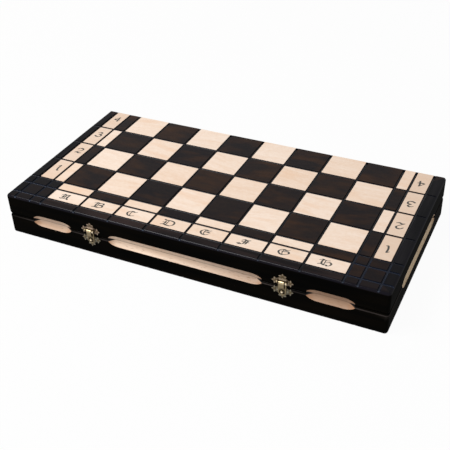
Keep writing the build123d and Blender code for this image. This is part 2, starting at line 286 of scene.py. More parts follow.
def stretched(along, slow, fast):
    """A scale that is slow along the grain's axis and fast across it."""
    return tuple(slow if axis == along else fast for axis in "XYZ")


def bumped(nodes, height, distance):
    """A normal that leans as if the surface were this high, in metres."""
    sockets = {"Height": height, "Strength": 1.0, "Distance": distance}
    return nodes.add("ShaderNodeBump", sockets)


def front_corners(nodes, place):
    """1 in the board's front corners, where grooves cross close together, and 0 elsewhere."""
    x, y, _ = nodes.split(place)
    return nodes.between(nodes.absolute(x), 0.162, 0.168) * nodes.between(y * -1, 0.058, 0.064)


# %% [markdown]
# ### Black-brown stain
#
# The rails are pale wood under a nearly black stain. Seen close, the stain is thin on the
# hard streaks, so brown shows through. Grain follows a rail's length, so the front and back
# rails need it along X and the ends along Y: one function makes both. The upright faces are
# matt, while the board's face and the rounded edges are varnished. Both are given lighter
# colours than the upright faces as painted light: a brown painted sheen on the board's face,
# and a bluish painted reflection on the rounded edges. All three meet on one rail, so the
# finish asks which way the surface faces: Texture Coordinate's Normal is the direction in
# the object's own axes, and its Z is 0 on an upright face and 1 on a level one. Where the
# two trays meet, the varnish brush didn't reach. The edges there stay matt, and a thin paler
# line along the lower one is a painted highlight.
# %% Stain for the rails
parting_height = 0.0244


def stained_wood(along, face_sheen_tones):
    """Black-brown stain over wood whose grain runs along an axis.

    The face's two tones are lighter than the upright faces': a painted sheen.
    """
    material, nodes, shader = new_finish(f"stained_wood_{along.lower()}")
    place = nodes.place()
    *_, facing_up = nodes.split(nodes.add("ShaderNodeTexCoord", output="Normal"))
    level = nodes.absolute(facing_up)
    *_, z = nodes.split(place)
    below = parting_height - z
    outer = nodes.between(nodes.absolute(below), 0.008, 0.012)
    streaks = noise(nodes, place, stretched(along, 9, 170), detail=5)
    clouds = noise(nodes, place, (9, 9, 40))
    pores = noise(nodes, place, stretched(along, 60, 1500), detail=2)
    thin_stain = nodes.between(streaks * 0.55 + clouds * 0.45, 0.42, 0.64)
    upright = nodes.mix(thin_stain, srgb(2, 2, 1), srgb(11, 8, 4))
    # Painted reflection: the rounded edges are lighter and bluer than the upright faces.
    rounded = nodes.mix(thin_stain, srgb(12, 11, 20), srgb(24, 19, 26))
    # Painted sheen: the board's face takes lighter tones than the upright faces.
    face_with_sheen = nodes.mix(thin_stain, *face_sheen_tones)
    face_with_sheen = nodes.mix(front_corners(nodes, place) * 0.6, face_with_sheen, srgb(9, 9, 13))
    edge = nodes.mix(nodes.between(level, 0.05, 0.35) * outer, upright, rounded)
    # Painted highlight: a thin paler line along the lower tray's edge at the parting.
    wear_and_highlight = nodes.between(level, 0.02, 0.1) * (1 - nodes.between(level, 0.3, 0.5))
    wear_and_highlight = wear_and_highlight * nodes.between(below, 0, 0.0004) * (1 - outer)
    edge = nodes.mix(wear_and_highlight * nodes.between(clouds, 0.4, 0.6), edge, srgb(58, 52, 50))
    nodes.plug(shader, {
        "Base Color": nodes.mix(nodes.between(level, 0.85, 0.99), edge, face_with_sheen),
        "Roughness": 0.42 + nodes.between(pores, 0.35, 0.7) * 0.16,
        "Specular IOR Level": 0.0,
        "Coat Weight": nodes.between(level, 0.05, 0.35) * outer * 0.12 + 0.02,
        "Coat Roughness": 0.12,
        "Normal": bumped(nodes, pores + streaks, 0.00004),
    })
    return material


stain_along = {
    "X": stained_wood("X", (srgb(21, 17, 18), srgb(51, 39, 37))),
    "Y": stained_wood("Y", (srgb(10, 10, 13), srgb(28, 26, 29))),
}


# %% [markdown]
# ### Bare wood
#
# The finger coves were milled after staining, so the pale wood underneath is bare there,
# and the inner walls of the box were never stained. This finish keeps the same grain, in
# the colour of beech, with the small dark flecks that beech has. Towards the right the
# colour is painted darker and browner, as shade where the lamp's light falls off, and the
# left end takes half of that tone; Object coordinates' X gives both. The two end rails are
# yellower. At the ends of a cut the disc lingers and scorches the wood, so the rails carry
# an attribute, `cut_end`, that runs from 0 to 1 there, and the finish browns by it. The
# disc also missed the rounded edges where the trays meet, which leaves a wedge of stain in
# each end, like a fish's tail: its height grows with `cut_end`. Along the middle, where the
# trays meet, a thin dark line is painted as the shade in the gap between them.
# %% Bare beech for the coves and the inner walls
def bare_wood(along, pale, deep, right_shade, wedge_start):
    """Unstained beech with fine flecks along the grain.

    The tone after pale and deep is painted towards the case's right as shade, and
    wedge_start is the `cut_end` where stain begins.
    """
    material, nodes, shader = new_finish(f"bare_wood_{along.lower()}")
    place = nodes.place()
    streaks = noise(nodes, place, stretched(along, 7, 140), detail=6)
    flecks = noise(nodes, place, stretched(along, 190, 1100), detail=1)
    grain = nodes.mix(nodes.between(streaks, 0.35, 0.7), pale, deep)
    x, _, z = nodes.split(place)
    # Darker and browner towards the right, a painted shade, and half of that tone at the left end.
    browner = nodes.math(
        "MAXIMUM", nodes.between(x, -0.04, 0.15), nodes.between(x * -1, 0.1, 0.15) * 0.5
    )
    toned = nodes.mix(browner, grain, right_shade)
    flecked = nodes.mix(nodes.between(flecks, 0.6, 0.72) * 0.6, toned, srgb(150, 110, 80))
    cut_end = nodes.attribute("cut_end")
    scorched = nodes.mix(nodes.between(cut_end + streaks * 0.5, 0.6, 1.5), flecked,
                         srgb(168, 118, 82))
    off_parting = nodes.absolute(z - parting_height)
    # Painted shade: a thin dark line along the gap between the trays.
    seam_shade = nodes.between(0.00042 - off_parting, 0, 0.0001) * 0.55
    seam_shaded = nodes.mix(seam_shade, scorched, srgb(96, 70, 50))
    wedge = nodes.between((cut_end - wedge_start) * 0.0044 - off_parting, -0.0001, 0.0001)
    nodes.plug(shader, {
        "Base Color": nodes.mix(wedge, seam_shaded, srgb(5, 4, 4)),
        "Roughness": 0.62 - streaks * 0.12,
        "Specular IOR Level": 0.25,
        "Normal": bumped(nodes, flecks + streaks, 0.00003),
    })
    return material


bare_along = {
    "X": bare_wood("X", srgb(238, 216, 196), srgb(212, 180, 152), srgb(166, 134, 110), 0.42),
    "Y": bare_wood("Y", srgb(250, 230, 200), srgb(232, 204, 170), srgb(240, 216, 182), 0.9),
}


# %% [markdown]
# ### Lacquer in the grooves
#
# The grooves between the squares were cut through the veneer and painted. They look
# blue-black, and because they are glossy and curved, each one carries a thin line of light,
# which comes from the shader's gloss on a curved surface. In the front corners the lacquer
# is painted lighter and bluer, a painted highlight for the lines of light there, and at the
# front rim each groove ends in a pale spot, a painted highlight where it runs over the
# rounded rim, weaker towards the right. Object coordinates say where all this is. On the
# cut edges of the light squares the same coat is thin, and looks brown.
# %% Gloss black for the grooves
def groove_lacquer(name, deep, pale):
    """Blue-black paint, glossy, with a brushed unevenness."""
    material, nodes, shader = new_finish(name)
    place = nodes.place()
    unevenness = noise(nodes, place, (350, 350, 350), detail=3)
    paint = nodes.mix(unevenness, deep, pale)
    # Painted highlight: lighter, bluer lacquer in the board's front corners.
    corner_glint = nodes.mix(front_corners(nodes, place), paint, srgb(20, 26, 40))
    x, y, _ = nodes.split(place)
    # Painted highlight: a pale spot where each groove meets the front rim, weaker to the right.
    drop = nodes.between(y * -1, 0.1018, 0.1034) * (0.5 - nodes.between(x, 0.0, 0.15) * 0.3)
    nodes.plug(shader, {
        "Base Color": nodes.mix(drop, corner_glint, srgb(104, 116, 134)),
        "Roughness": 0.14 + unevenness * 0.16,
        "Specular IOR Level": 0.1,
        "Normal": bumped(nodes, unevenness, 0.00003),
    })
    return material


lacquer = groove_lacquer("groove_lacquer", srgb(5, 5, 10), srgb(10, 12, 22))
cut_edge = groove_lacquer("stained_cut_edge", srgb(52, 31, 18), srgb(74, 48, 30))


# %% [markdown]
# ### Veneer for the squares
#
# Each square was cut from a different leaf of veneer, so neighbours differ a little in tone
# and in the run of their grain. The tiles carry an attribute, `cell`, with three random
# numbers for each tile. The finish reads it to shift and turn the grain and to change the
# tone, so one material serves all the light tiles and one the dark tiles.
# %% Light and dark veneer
def veneer(name, pale, deep, warm, warm_from, corner, variety, gloss):
    """Varnished veneer: two tones of grain, a warm cast in places, and its gloss.

    warm_from is how strong the figure must be to turn warm, corner the dull tone in the
    board's front corners and at its ends, and variety how much the tiles differ.
    """
    material, nodes, shader = new_finish(name)
    cell = nodes.attribute("cell", "Vector")
    tone, cast, lean = nodes.split(cell)
    place = nodes.place()
    turned = nodes.add(
        "ShaderNodeVectorRotate",
        {"Vector": place, "Angle": (lean - 0.5) * 0.5},
        rotation_type="Z_AXIS",
    )
    shifted = nodes.vector_math("ADD", turned, cell)
    streaks = noise(nodes, shifted, (14, 170, 40), detail=6, roughness=0.6)
    pores = noise(nodes, shifted, (90, 1400, 200), detail=2)
    figure = noise(nodes, shifted, (26, 60, 40), detail=2)
    mottle = noise(nodes, shifted, (240, 420, 300), detail=2)
    depth = streaks * 0.4 + figure * 0.2 + mottle * 0.3 + pores * 0.15 + tone * variety
    grain = nodes.mix(nodes.between(depth - variety * 0.5, 0.38, 0.68), pale, deep)
    warmth = figure * 0.7 + streaks * 0.3 + (cast - 0.5) * variety
    warmed = nodes.mix(nodes.between(warmth, warm_from, warm_from + 0.3), grain, warm)
    x, _, _ = nodes.split(place)
    dull_band = nodes.between(nodes.absolute(x), 0.1785, 0.181) * 0.5
    dull_corner = front_corners(nodes, place) * (0.6 - x * 1.5)
    dulled = nodes.math("MAXIMUM", dull_band, dull_corner)
    colour = nodes.mix(dulled, warmed, corner)
    nodes.plug(shader, {
        "Base Color": colour,
        "Roughness": 0.34 + pores * 0.12,
        "Specular IOR Level": gloss,
        "Normal": bumped(nodes, pores + streaks, 0.00002),
    })
    return material


light_veneer = veneer("light_veneer", srgb(248, 228, 211), srgb(236, 207, 182),
                      srgb(241, 205, 176), 0.52, srgb(220, 194, 172), 0.14, 0.15)
dark_veneer = veneer("dark_veneer", srgb(38, 31, 29), srgb(22, 21, 25),
                     srgb(62, 43, 31), 0.44, srgb(18, 17, 20), 0.14, 0.03)
print("wood finishes:", [m.name for m in bpy.data.materials
                         if "wood" in m.name or "veneer" in m.name])

# %% [markdown]
# ### Brass, steel, felt and ink
#
# The latches are stamped brass with an old finish: a brown patina lies in the hollows, and
# handling has polished what stands out. Each mesh of a latch carries a value from 0 to 1 at
# every point, in an attribute: on the plates it follows the relief, while on the hood, its
# barrel, the plate barrels and the studs it also carries painted highlights and painted
# shade. A colour ramp turns it into patina, the metal's own tone, or polish. The plates have
# a greyer tone than the hoods, which were stamped from another sheet. The left upper plate
# is pinker than the right one, and the lower plates are the greenest. The studs and barrels
# take the palest polish, which paints their highlights brighter.
# %% Metals
def brass(name, patina, tone, polished, follows_attribute=True):
    """Antique brass from patina to polish, by soft clouds, or by an attribute that also paints
    highlight and shade.
    """
    material, nodes, shader = new_finish(name)
    place = nodes.place()
    clouds = noise(nodes, place, (420, 420, 420), detail=4)
    scratches = noise(nodes, place, (900, 900, 5200), detail=2)
    wear_and_highlight = clouds
    # On the hood, its barrel, the plate barrels and the studs the attribute also paints highlight
    # and shade.
    if follows_attribute:
        wear_and_highlight = nodes.attribute("wear_and_painted_light") + (clouds - 0.5) * 0.35
    nodes.plug(shader, {
        "Base Color": nodes.add(
            "ShaderNodeValToRGB",
            {"Fac": wear_and_highlight},
            stops=[(0.1, patina), (0.5, tone), (0.62, tone), (1.0, polished)],
        ),
        "Metallic": 1.0,
        "Roughness": 0.48 - wear_and_highlight * 0.14 + scratches * 0.08,
        "Normal": bumped(nodes, clouds + scratches * 0.4, 0.00003),
    })
    return material


def dull_steel():
    """Drawn steel of pins and screws, dulled by fine scratches."""
    material, nodes, shader = new_finish("dull_steel")
    place = nodes.place()
    scratches = noise(nodes, place, (3000, 400, 3000), detail=3)
    nodes.plug(shader, {
        "Base Color": nodes.mix(scratches, srgb(150, 145, 134), srgb(196, 190, 178)),
        "Metallic": 1.0,
        "Roughness": 0.28 + scratches * 0.2,
        "Normal": bumped(nodes, scratches, 0.00001),
    })
    return material


patina = srgb(52, 39, 22)
plate_brass = {
    "left": brass("left_plate_brass", patina, srgb(132, 114, 98), srgb(198, 176, 154)),
    "right": brass("right_plate_brass", patina, srgb(116, 103, 86), srgb(180, 164, 142)),
}
strike_brass = brass("strike_brass", patina, srgb(99, 93, 79), srgb(158, 150, 131))
hood_brass = brass("hood_brass", patina, srgb(132, 118, 92), srgb(190, 172, 138))
# The palest polish, which also paints the studs' and barrels' highlights brighter.
turned_brass = brass("turned_brass", patina, srgb(132, 118, 92), srgb(232, 214, 184))
plain_brass = brass("plain_brass", patina, srgb(104, 88, 62), srgb(160, 140, 104), False)
steel = dull_steel()


# %% [markdown]
# Felt has no gloss at all, and its surface is a mat of fibres. Two noises stand for them: a
# fine one that roughens the surface, and a slow one for where the nap lies differently. The
# ink of the letters is a thin print that lets the wood through in specks.
# %% Felt and ink
def green_felt():
    """Matt green felt with a fibrous surface."""
    material, nodes, shader = new_finish("green_felt")
    place = nodes.place()
    fibres = noise(nodes, place, (1600, 1600, 1600), detail=4, roughness=0.7)
    nap = noise(nodes, place, (30, 30, 30), detail=3)
    shade = fibres * 0.7 + nap * 0.3
    nodes.plug(shader, {
        "Base Color": nodes.mix(nodes.between(shade, 0.3, 0.7), srgb(24, 52, 34), srgb(54, 96, 66)),
        "Roughness": 0.95,
        "Specular IOR Level": 0.1,
        "Sheen Weight": 0.3,
        "Normal": bumped(nodes, fibres, 0.0003),
    })
    return material


def printing_ink():
    """Grey-black ink, thinner in specks."""
    material, nodes, shader = new_finish("printing_ink")
    place = nodes.place()
    specks = noise(nodes, place, (1500, 1500, 1500), detail=2)
    thin = nodes.between(specks, 0.55, 0.8)
    nodes.plug(shader, {
        "Base Color": nodes.mix(thin, srgb(68, 68, 64), srgb(138, 131, 120)),
        "Roughness": 0.55 + specks * 0.1,
        "Specular IOR Level": 0.2,
        "Normal": bumped(nodes, specks, 0.00001),
    })
    return material


felt, ink = green_felt(), printing_ink()
print("finishes made:", len(bpy.data.materials))

# %% [markdown]
# ## Helpers that turn shapes into pieces
#
# All shapes below are drawn in millimetres, in the case's own frame, and become metres only
# when their mesh is made. Each finished piece is parented to the body that carries it, and
# the nodes of the solid model that it stands for are hidden.
# %% Make a mesh and register a piece
def new_mesh(name, points, faces, finishes, smooth_below=None, wear_and_painted_light=None):
    """A mesh from points in millimetres, its faces turned outwards.

    The last argument gives each point's polish and painted light, from 0 to 1, where the
    finish asks for it.
    """
    mesh = bpy.data.meshes.new(name)
    mesh.from_pydata([Vector(p) / 1000 for p in points], [], faces)
    work = bmesh.new()
    work.from_mesh(mesh)
    bmesh.ops.recalc_face_normals(work, faces=work.faces)
    work.to_mesh(mesh)
    work.free()
    for finish in finishes:
        mesh.materials.append(finish)
    if smooth_below is not None:
        mesh.shade_smooth()
        mesh.set_sharp_from_angle(angle=math.radians(smooth_below))
    if wear_and_painted_light is not None:
        mesh.attributes.new("wear_and_painted_light", "FLOAT", "POINT").data.foreach_set("value", wear_and_painted_light)
    return mesh


def add_piece(name, mesh, body, slot, *stands_for):
    """Puts a mesh in the scene as a piece that moves with a body."""
    piece = new_object(name, mesh)
    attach(piece, body)
    if stands_for:
        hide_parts(*stands_for)
    print(f"{name}: {len(mesh.polygons)} faces")
    return piece


def mesh_after_modifiers(holder):
    """The mesh that an object shows. The object itself goes."""
    depsgraph = bpy.context.evaluated_depsgraph_get()
    result = bpy.data.meshes.new_from_object(holder.evaluated_get(depsgraph))
    bpy.data.objects.remove(holder)
    return result


def clamp(value):
    """The value, but never below 0 or above 1."""
    return max(0.0, min(1.0, value))


# %% [markdown]
# ## The rails
#
# Eight mitred rails carry everything. Their shape in the solid model is right, down to the
# coves and the grooves that run out over the rim, but its edges are as sharp as a computer
# makes them, and a real edge always catches a little light. So each rail is copied, its
# loose triangles are merged and simplified, and its edges get a bevel of 0.25 mm.
#
# The copy also knows which of its faces are which. A face in a cove lies at a fixed
# distance from the path of the milling disc, and a face in a groove at a fixed distance
# from the groove's middle line, so each gets its finish by measurement. How far a point is
# into the end of a cut is kept for the scorch marks.
# %% Know the coves and the grooves
side_x, front_y, back_y, parting_z = 210.8, -104.35, 104.35, 24.4
rail_width = 14.0

cove_height, cove_depth, cove_disc_radius = 13.0, 3.5, 26.0
cove_profile_radius = (cove_height**2 / 4 + cove_depth**2) / (2 * cove_depth)
cove_run_out = math.sqrt(cove_disc_radius**2 - (cove_disc_radius - cove_depth) ** 2)
front_coves = [(1.2, 147.0), (-154.6, 22.8), (155.6, 22.8)]
side_coves = [(2.6, 98.5)]
surface_tolerance = 0.12

pitch, stripe, band = 41.5, 13.8, 19.2
hinge_edge_trim = 1.3
groove_width, groove_depth = 2.8, 1.6
groove_radius = (groove_width**2 / 4 + groove_depth**2) / (2 * groove_depth)
file_lines = [pitch * (i - 4) for i in range(9)]
rank_lines = [*[back_y + hinge_edge_trim - pitch * (4 - i) for i in range(4)], back_y]
grid_x = [file_lines[0] - stripe - band, file_lines[0] - stripe, *file_lines,
          file_lines[-1] + stripe, file_lines[-1] + stripe + band]
grid_y = [rank_lines[0] - stripe - band, rank_lines[0] - stripe, *rank_lines]


def in_cove(along, outwards, up, coves):
    """Whether a point on a face lies on the surface that a milling disc left."""
    for middle, travel in coves:
        beyond = abs(along - middle) - travel / 2
        if beyond <= 0:
            from_path = cove_profile_radius - cove_depth - outwards
        else:
            disc_middle = cove_disc_radius - cove_depth
            path_radius = disc_middle - (cove_profile_radius - cove_depth)
            from_path = math.hypot(beyond, outwards - disc_middle) - path_radius
        if abs(math.hypot(from_path, up) - cove_profile_radius) < surface_tolerance:
            return beyond < cove_disc_radius
    return False


def in_groove(point):
    """Whether a point lies on a groove's surface, on the lid or on the underside."""
    below = min(point.z, 2 * parting_z - point.z)
    from_axis = below + groove_radius - groove_depth
    across = min([abs(point.x - x) for x in grid_x] + [abs(point.y - y) for y in grid_y[:-1]])
    off_surface = abs(math.hypot(across, from_axis) - groove_radius)
    return below < groove_depth + 0.01 and off_surface < surface_tolerance


def along_cut(point, side):
    """A point's distance into the end of the nearest cut, 1 where the cut runs out."""
    along, coves = (point.x, front_coves) if side in ("front", "back") else (point.y, side_coves)
    beyond = min(abs(along - middle) - travel / 2 for middle, travel in coves)
    return clamp(beyond / cove_run_out)


# %% Copy, mark and bevel the rails
edge_bevel, sharp_angle = 0.25, math.radians(30)
rail_finishes = {"front": "X", "back": "X", "left": "Y", "right": "Y"}


def face_finish(face, side):
    """The place in a rail's list of finishes: 0 stain, 1 bare wood, 2 groove lacquer."""
    points = [vert.co * 1000 for vert in face.verts]
    middle = sum(points, Vector()) / len(points)
    if all(in_groove(p) for p in [*points, middle]):
        return 2
    if abs(middle.x) < side_x - rail_width + 0.01 and abs(middle.y) < -front_y - rail_width + 0.01:
        return 1
    if side in ("front", "back"):
        measured = [(p.x, front_y - p.y, p.z - parting_z) for p in [*points, middle]]
    else:
        measured = [(p.y, abs(p.x) - side_x, p.z - parting_z) for p in [*points, middle]]
    coves = {"front": front_coves, "back": []}.get(side, side_coves)
    return 1 if all(in_cove(*p, coves) for p in measured) else 0


def rail_mesh(node, side):
    """A rail of the solid model, merged, marked by finish, and with its edges eased."""
    work = bmesh.new()
    work.from_mesh(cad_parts[node].data)
    bmesh.ops.remove_doubles(work, verts=work.verts, dist=2e-6)
    bmesh.ops.dissolve_limit(
        work, angle_limit=math.radians(0.5), verts=work.verts, edges=work.edges
    )
    for face in work.faces:
        face.material_index = face_finish(face, side)
    mesh = bpy.data.meshes.new(node)
    work.to_mesh(mesh)
    work.free()
    if "custom_normal" in mesh.attributes:
        mesh.attributes.remove(mesh.attributes["custom_normal"])
    ends = mesh.attributes.new("cut_end", "FLOAT", "POINT")
    ends.data.foreach_set("value", [along_cut(v.co * 1000, side) for v in mesh.vertices])
    along = rail_finishes[side]
    for finish in (stain_along[along], bare_along[along], lacquer):
        mesh.materials.append(finish)
    mesh.shade_smooth()
    mesh.set_sharp_from_angle(angle=sharp_angle)
    holder = new_object(node, mesh)
    bevel = holder.modifiers.new("bevel", "BEVEL")
    bevel.width, bevel.segments, bevel.harden_normals = edge_bevel / 1000, 2, True
    bevel.limit_method, bevel.angle_limit = "ANGLE", sharp_angle
    return mesh_after_modifiers(holder)


for tray in ("lower", "upper"):
    for side in rail_finishes:
        node = f"{tray}_{side}_rail"
        mesh = rail_mesh(node, side)
        add_piece(f"{node}_eased", mesh, f"{tray}_case", "stained_wood", node)

# %% [markdown]
# ## The board's core
#
# Under the veneer lies a sheet of plywood, and all that shows of it is the bottom of the
# grooves. The solid model's own shape is exact, so the node stays and only takes the
# lacquer. The same goes for the hinge leaves and the pins further on.
# %% Finish the nodes that stay as they are
def finish_nodes(finish, *names):
    """Gives nodes of the solid model a finish, and leaves their shape alone."""
    for name in names:
        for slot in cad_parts[name].material_slots:
            slot.material = finish
    print(finish.name, "on", len(names), "nodes")


finish_nodes(lacquer, "lower_board_core", "upper_board_core")
finish_nodes(plain_brass, *[f"{hand}_hinge_{leaf}_leaf" for hand in ("left", "right")
                            for leaf in ("lower", "upper")])
finish_nodes(steel, *[f"{hand}_{pin}_pin" for hand in ("left", "right")
                      for pin in ("hinge", "hasp")])

# %% [markdown]
# ## The veneer tiles
#
# There are 72 tiles on each half, in twelve sizes, all with the same small rounded corners
# and the same eased edge. That is work for Geometry Nodes. Stretching one tile to each size
# would stretch its corners too. Instead the tree makes a tile that is hardly more than its
# corners, puts one on every point, and then moves each corner outwards by as much as that
# point's tile is larger. It is how a tablecloth's corners stay square when the table grows.
#
# A tile's sides follow the groove beside it, and they take the finish of a cut edge.
# %% Build the tile tree
template_half = 2.0
tile_profile = [(0.0, 0.04), (0.28, 0.02), (0.44, 0.0), (0.52, -0.04), (0.56, -0.14)]


def new_tree(name, inputs):
    """A Geometry Nodes tree with named inputs. Gives its wrapped nodes and the inputs."""
    tree = bpy.data.node_groups.new(name, "GeometryNodeTree")
    tree.interface.new_socket("Geometry", in_out="INPUT", socket_type="NodeSocketGeometry")
    tree.interface.new_socket("Geometry", in_out="OUTPUT", socket_type="NodeSocketGeometry")
    for label, kind in inputs.items():
        tree.interface.new_socket(label, in_out="INPUT", socket_type=f"NodeSocket{kind}")
    nodes = Nodes(tree)
    return nodes, nodes.add("NodeGroupInput")


def run_tree(nodes, points, inputs, attributes=None):
    """Runs a tree on loose points in millimetres, and gives the plain mesh it makes."""
    mesh = bpy.data.meshes.new(nodes.tree.name)
    mesh.from_pydata([Vector(p) / 1000 for p in points], [], [])
    for name, values in (attributes or {}).items():
        attribute = mesh.attributes.new(name, "FLOAT_VECTOR", "POINT")
        for item, value in zip(attribute.data, values):
            item.vector = Vector(value) / 1000
    holder = new_object(nodes.tree.name, mesh)
    modifier = holder.modifiers.new("tree", "NODES")
    modifier.node_group = nodes.tree
    for socket in nodes.tree.interface.items_tree:
        if socket.in_out == "INPUT" and socket.name in inputs:
            modifier[socket.identifier] = inputs[socket.name]
    return mesh_after_modifiers(holder)


def end_tree(nodes, geometry):
    """Sends a tree's result out of it, and gives the tree back."""
    nodes.tree.nodes.new("NodeGroupOutput")
    nodes.plug(nodes.tree.nodes["Group Output"], {"Geometry": geometry})
    return nodes


def stored(nodes, geometry, name, value):
    """The geometry with a vector kept at each point under a name."""
    sockets = {"Geometry": geometry, "Name": name, "Value": value}
    return nodes.add("GeometryNodeStoreNamedAttribute", sockets, data_type="FLOAT_VECTOR",
                     domain="POINT")


def coated(nodes, geometry, finish, **selection):
    """The geometry in a finish, all of it or the faces that are selected."""
    sockets = {"Geometry": geometry, "Material": finish, **selection}
    return nodes.add("GeometryNodeSetMaterial", sockets)


def metres(value):
    return value / 1000


def tile_tree():
    """Rounded tiles on points, each grown to the half size that its point carries."""
    nodes, given = new_tree("veneer_tiles", {
        "Corner Radius": "Float", "Seed": "Int", "Face": "Material", "Sides": "Material",
    })
    size = metres(2 * (template_half + tile_profile[0][1]))
    outline = nodes.add("GeometryNodeCurvePrimitiveQuadrilateral", {"Width": size, "Height": size})
    rounded = nodes.add(
        "GeometryNodeFilletCurve",
        {"Curve": outline, "Count": 5, "Radius": given.output("Corner Radius")},
        mode="POLY",
    )
    base = nodes.add("GeometryNodeFillCurve", {"Curve": rounded}, mode="NGONS")
    tile, painted, top = base, None, None
    for (z, reach), (next_z, next_reach) in zip(tile_profile, tile_profile[1:]):
        sockets = {"Mesh": tile, "Offset": (0, 0, 1), "Offset Scale": metres(next_z - z)}
        if top:
            sockets["Selection"] = top
        tile = nodes.add("GeometryNodeExtrudeMesh", sockets, mode="FACES")
        top = tile.output("Top")
        if next_reach >= 0:
            side = tile.output("Side")
            painted = side if painted is None else nodes.add(
                "FunctionNodeBooleanMath", {0: painted, 1: side}, operation="OR"
            )
        shrink = (template_half + next_reach) / (template_half + reach)
        tile = nodes.add(
            "GeometryNodeScaleElements", {"Geometry": tile, "Selection": top, "Scale": shrink}
        )
    underside = nodes.add("GeometryNodeFlipFaces", {"Mesh": base})
    closed = nodes.add("GeometryNodeJoinGeometry", {"Geometry": [tile, underside]})
    closed = nodes.add("GeometryNodeMergeByDistance", {"Geometry": closed, "Distance": 1e-6})
    corner = nodes.vector_math("SIGN", nodes.add("GeometryNodeInputPosition"))
    marked = stored(nodes, closed, "corner", corner)
    chance = nodes.add(
        "FunctionNodeRandomValue",
        {"Min": (0, 0, 0), "Max": (1, 1, 1), "Seed": given.output("Seed")},
        data_type="FLOAT_VECTOR",
    )
    seeded = stored(nodes, given.output("Geometry"), "cell", chance)
    tiles = nodes.add("GeometryNodeInstanceOnPoints", {"Points": seeded, "Instance": marked})
    real = nodes.add("GeometryNodeRealizeInstances", {"Geometry": tiles})
    half, corner = (
        nodes.add(
            "GeometryNodeInputNamedAttribute", {"Name": name}, data_type="FLOAT_VECTOR"
        )
        for name in ("half", "corner")
    )
    growth = nodes.vector_math("SUBTRACT", half, (metres(template_half),) * 3)
    flat_growth = nodes.vector_math("MULTIPLY", growth, (1, 1, 0))
    grown = nodes.add(
        "GeometryNodeSetPosition",
        {"Geometry": real, "Offset": nodes.vector_math("MULTIPLY", flat_growth, corner)},
    )
    faced = coated(nodes, grown, given.output("Face"))
    return end_tree(nodes, coated(nodes, faced, given.output("Sides"), Selection=painted))


tiles = tile_tree()
print("tile tree:", len(tiles.tree.nodes), "nodes")

# %% [markdown]
# Which tile is light follows the chess board, with two rules for the border: the outer
# tiles that carry letters and numbers are all light, and each corner is dark. On both
# halves a player has a light square at the near right, so the pattern of the underside is
# the other way round.
# %% Lay the tiles on both halves
def is_light(column, row, tray):
    """Whether a tile is light, counting columns from the left and rows from the front."""
    last = len(grid_x) - 2
    if (column < 2 or column > last - 2) and row < 2:
        return False
    if column in (0, last) or row == 0:
        return True
    return (column + row) % 2 == (1 if tray == "upper" else 0)


def tile_places(light, tray):
    """The middles and half sizes of a half board's light tiles, or of its dark ones."""
    middles, halves = [], []
    flare = tile_profile[0][1]
    for column, (x0, x1) in enumerate(zip(grid_x, grid_x[1:])):
        for row, (y0, y1) in enumerate(zip(grid_y, grid_y[1:])):
            if is_light(column, row, tray) == light:
                low_y = y0 + groove_width / 2
                high_y = y1 - (flare if y1 == back_y else groove_width / 2)
                middles.append(((x0 + x1) / 2, (low_y + high_y) / 2, 0.0))
                halves.append(((x1 - x0 - groove_width) / 2, (high_y - low_y) / 2, 0.0))
    return middles, halves


veneer_thickness, tile_corner_radius = 0.6, 0.6
tile_seeds = {"light": 11, "dark": 23}
top_z = 2 * parting_z
for tray in ("lower", "upper"):
    for shade, finish, sides in (("light", light_veneer, cut_edge),
                                 ("dark", dark_veneer, lacquer)):
        middles, halves = tile_places(shade == "light", tray)
        if tray == "upper":
            places = [(x, y, top_z - veneer_thickness) for x, y, _ in middles]
        else:
            places = [(x, -y, -veneer_thickness) for x, y, _ in middles]
        mesh = run_tree(tiles, places, {
            "Corner Radius": metres(tile_corner_radius), "Seed": tile_seeds[shade],
            "Face": finish, "Sides": sides,
        }, {"half": halves})
        if tray == "lower":
            mesh.transform(Matrix.Rotation(math.pi, 4, "X"))
        add_piece(f"{tray}_{shade}_tiles", mesh, f"{tray}_case", f"{shade}_veneer",
                  f"{tray}_{shade}_cells")

# %% [markdown]
# Where a groove meets the hinge edge, its paint has dried as a skin that closes the end, so
# the edge of the board looks straight from the front. Each skin is a thin slab with the
# groove's own section: an arc of points and its chord already are that outline, so no
# Boolean has to cut it. The slabs reach a hair into the wood, which leaves no gap.
# %% Close the grooves at the hinge edge
skin_drop, skin_inset, skin_thickness, skin_overlap = 0.22, 0.08, 0.6, 0.03
skin_steps = 12


def groove_skins(tray):
    """Thin slabs of paint that close a half board's grooves at the hinge edge."""
    axis_above = groove_radius - groove_depth
    half_turn = math.acos((axis_above + skin_drop) / groove_radius)
    points, faces = [], []
    for x in grid_x:
        near = [len(points) + i for i in range(skin_steps + 1)]
        far = [i + len(near) for i in near]
        for y in (back_y - skin_inset - skin_thickness, back_y - skin_inset):
            for step in range(skin_steps + 1):
                angle = half_turn * (2 * step / skin_steps - 1)
                reach = groove_radius + skin_overlap
                below = reach * math.cos(angle) - axis_above
                z = top_z - below if tray == "upper" else below
                points.append((x + reach * math.sin(angle), y, z))
        faces += [tuple(near), tuple(reversed(far))]
        faces += [(a, b, b + len(near), a + len(near)) for a, b in zip(near, near[1:] + near[:1])]
    return new_mesh(f"{tray}_groove_skins", points, faces, [lacquer], smooth_below=40)


for tray in ("lower", "upper"):
    add_piece(f"{tray}_groove_skins", groove_skins(tray), f"{tray}_case", "plywood")

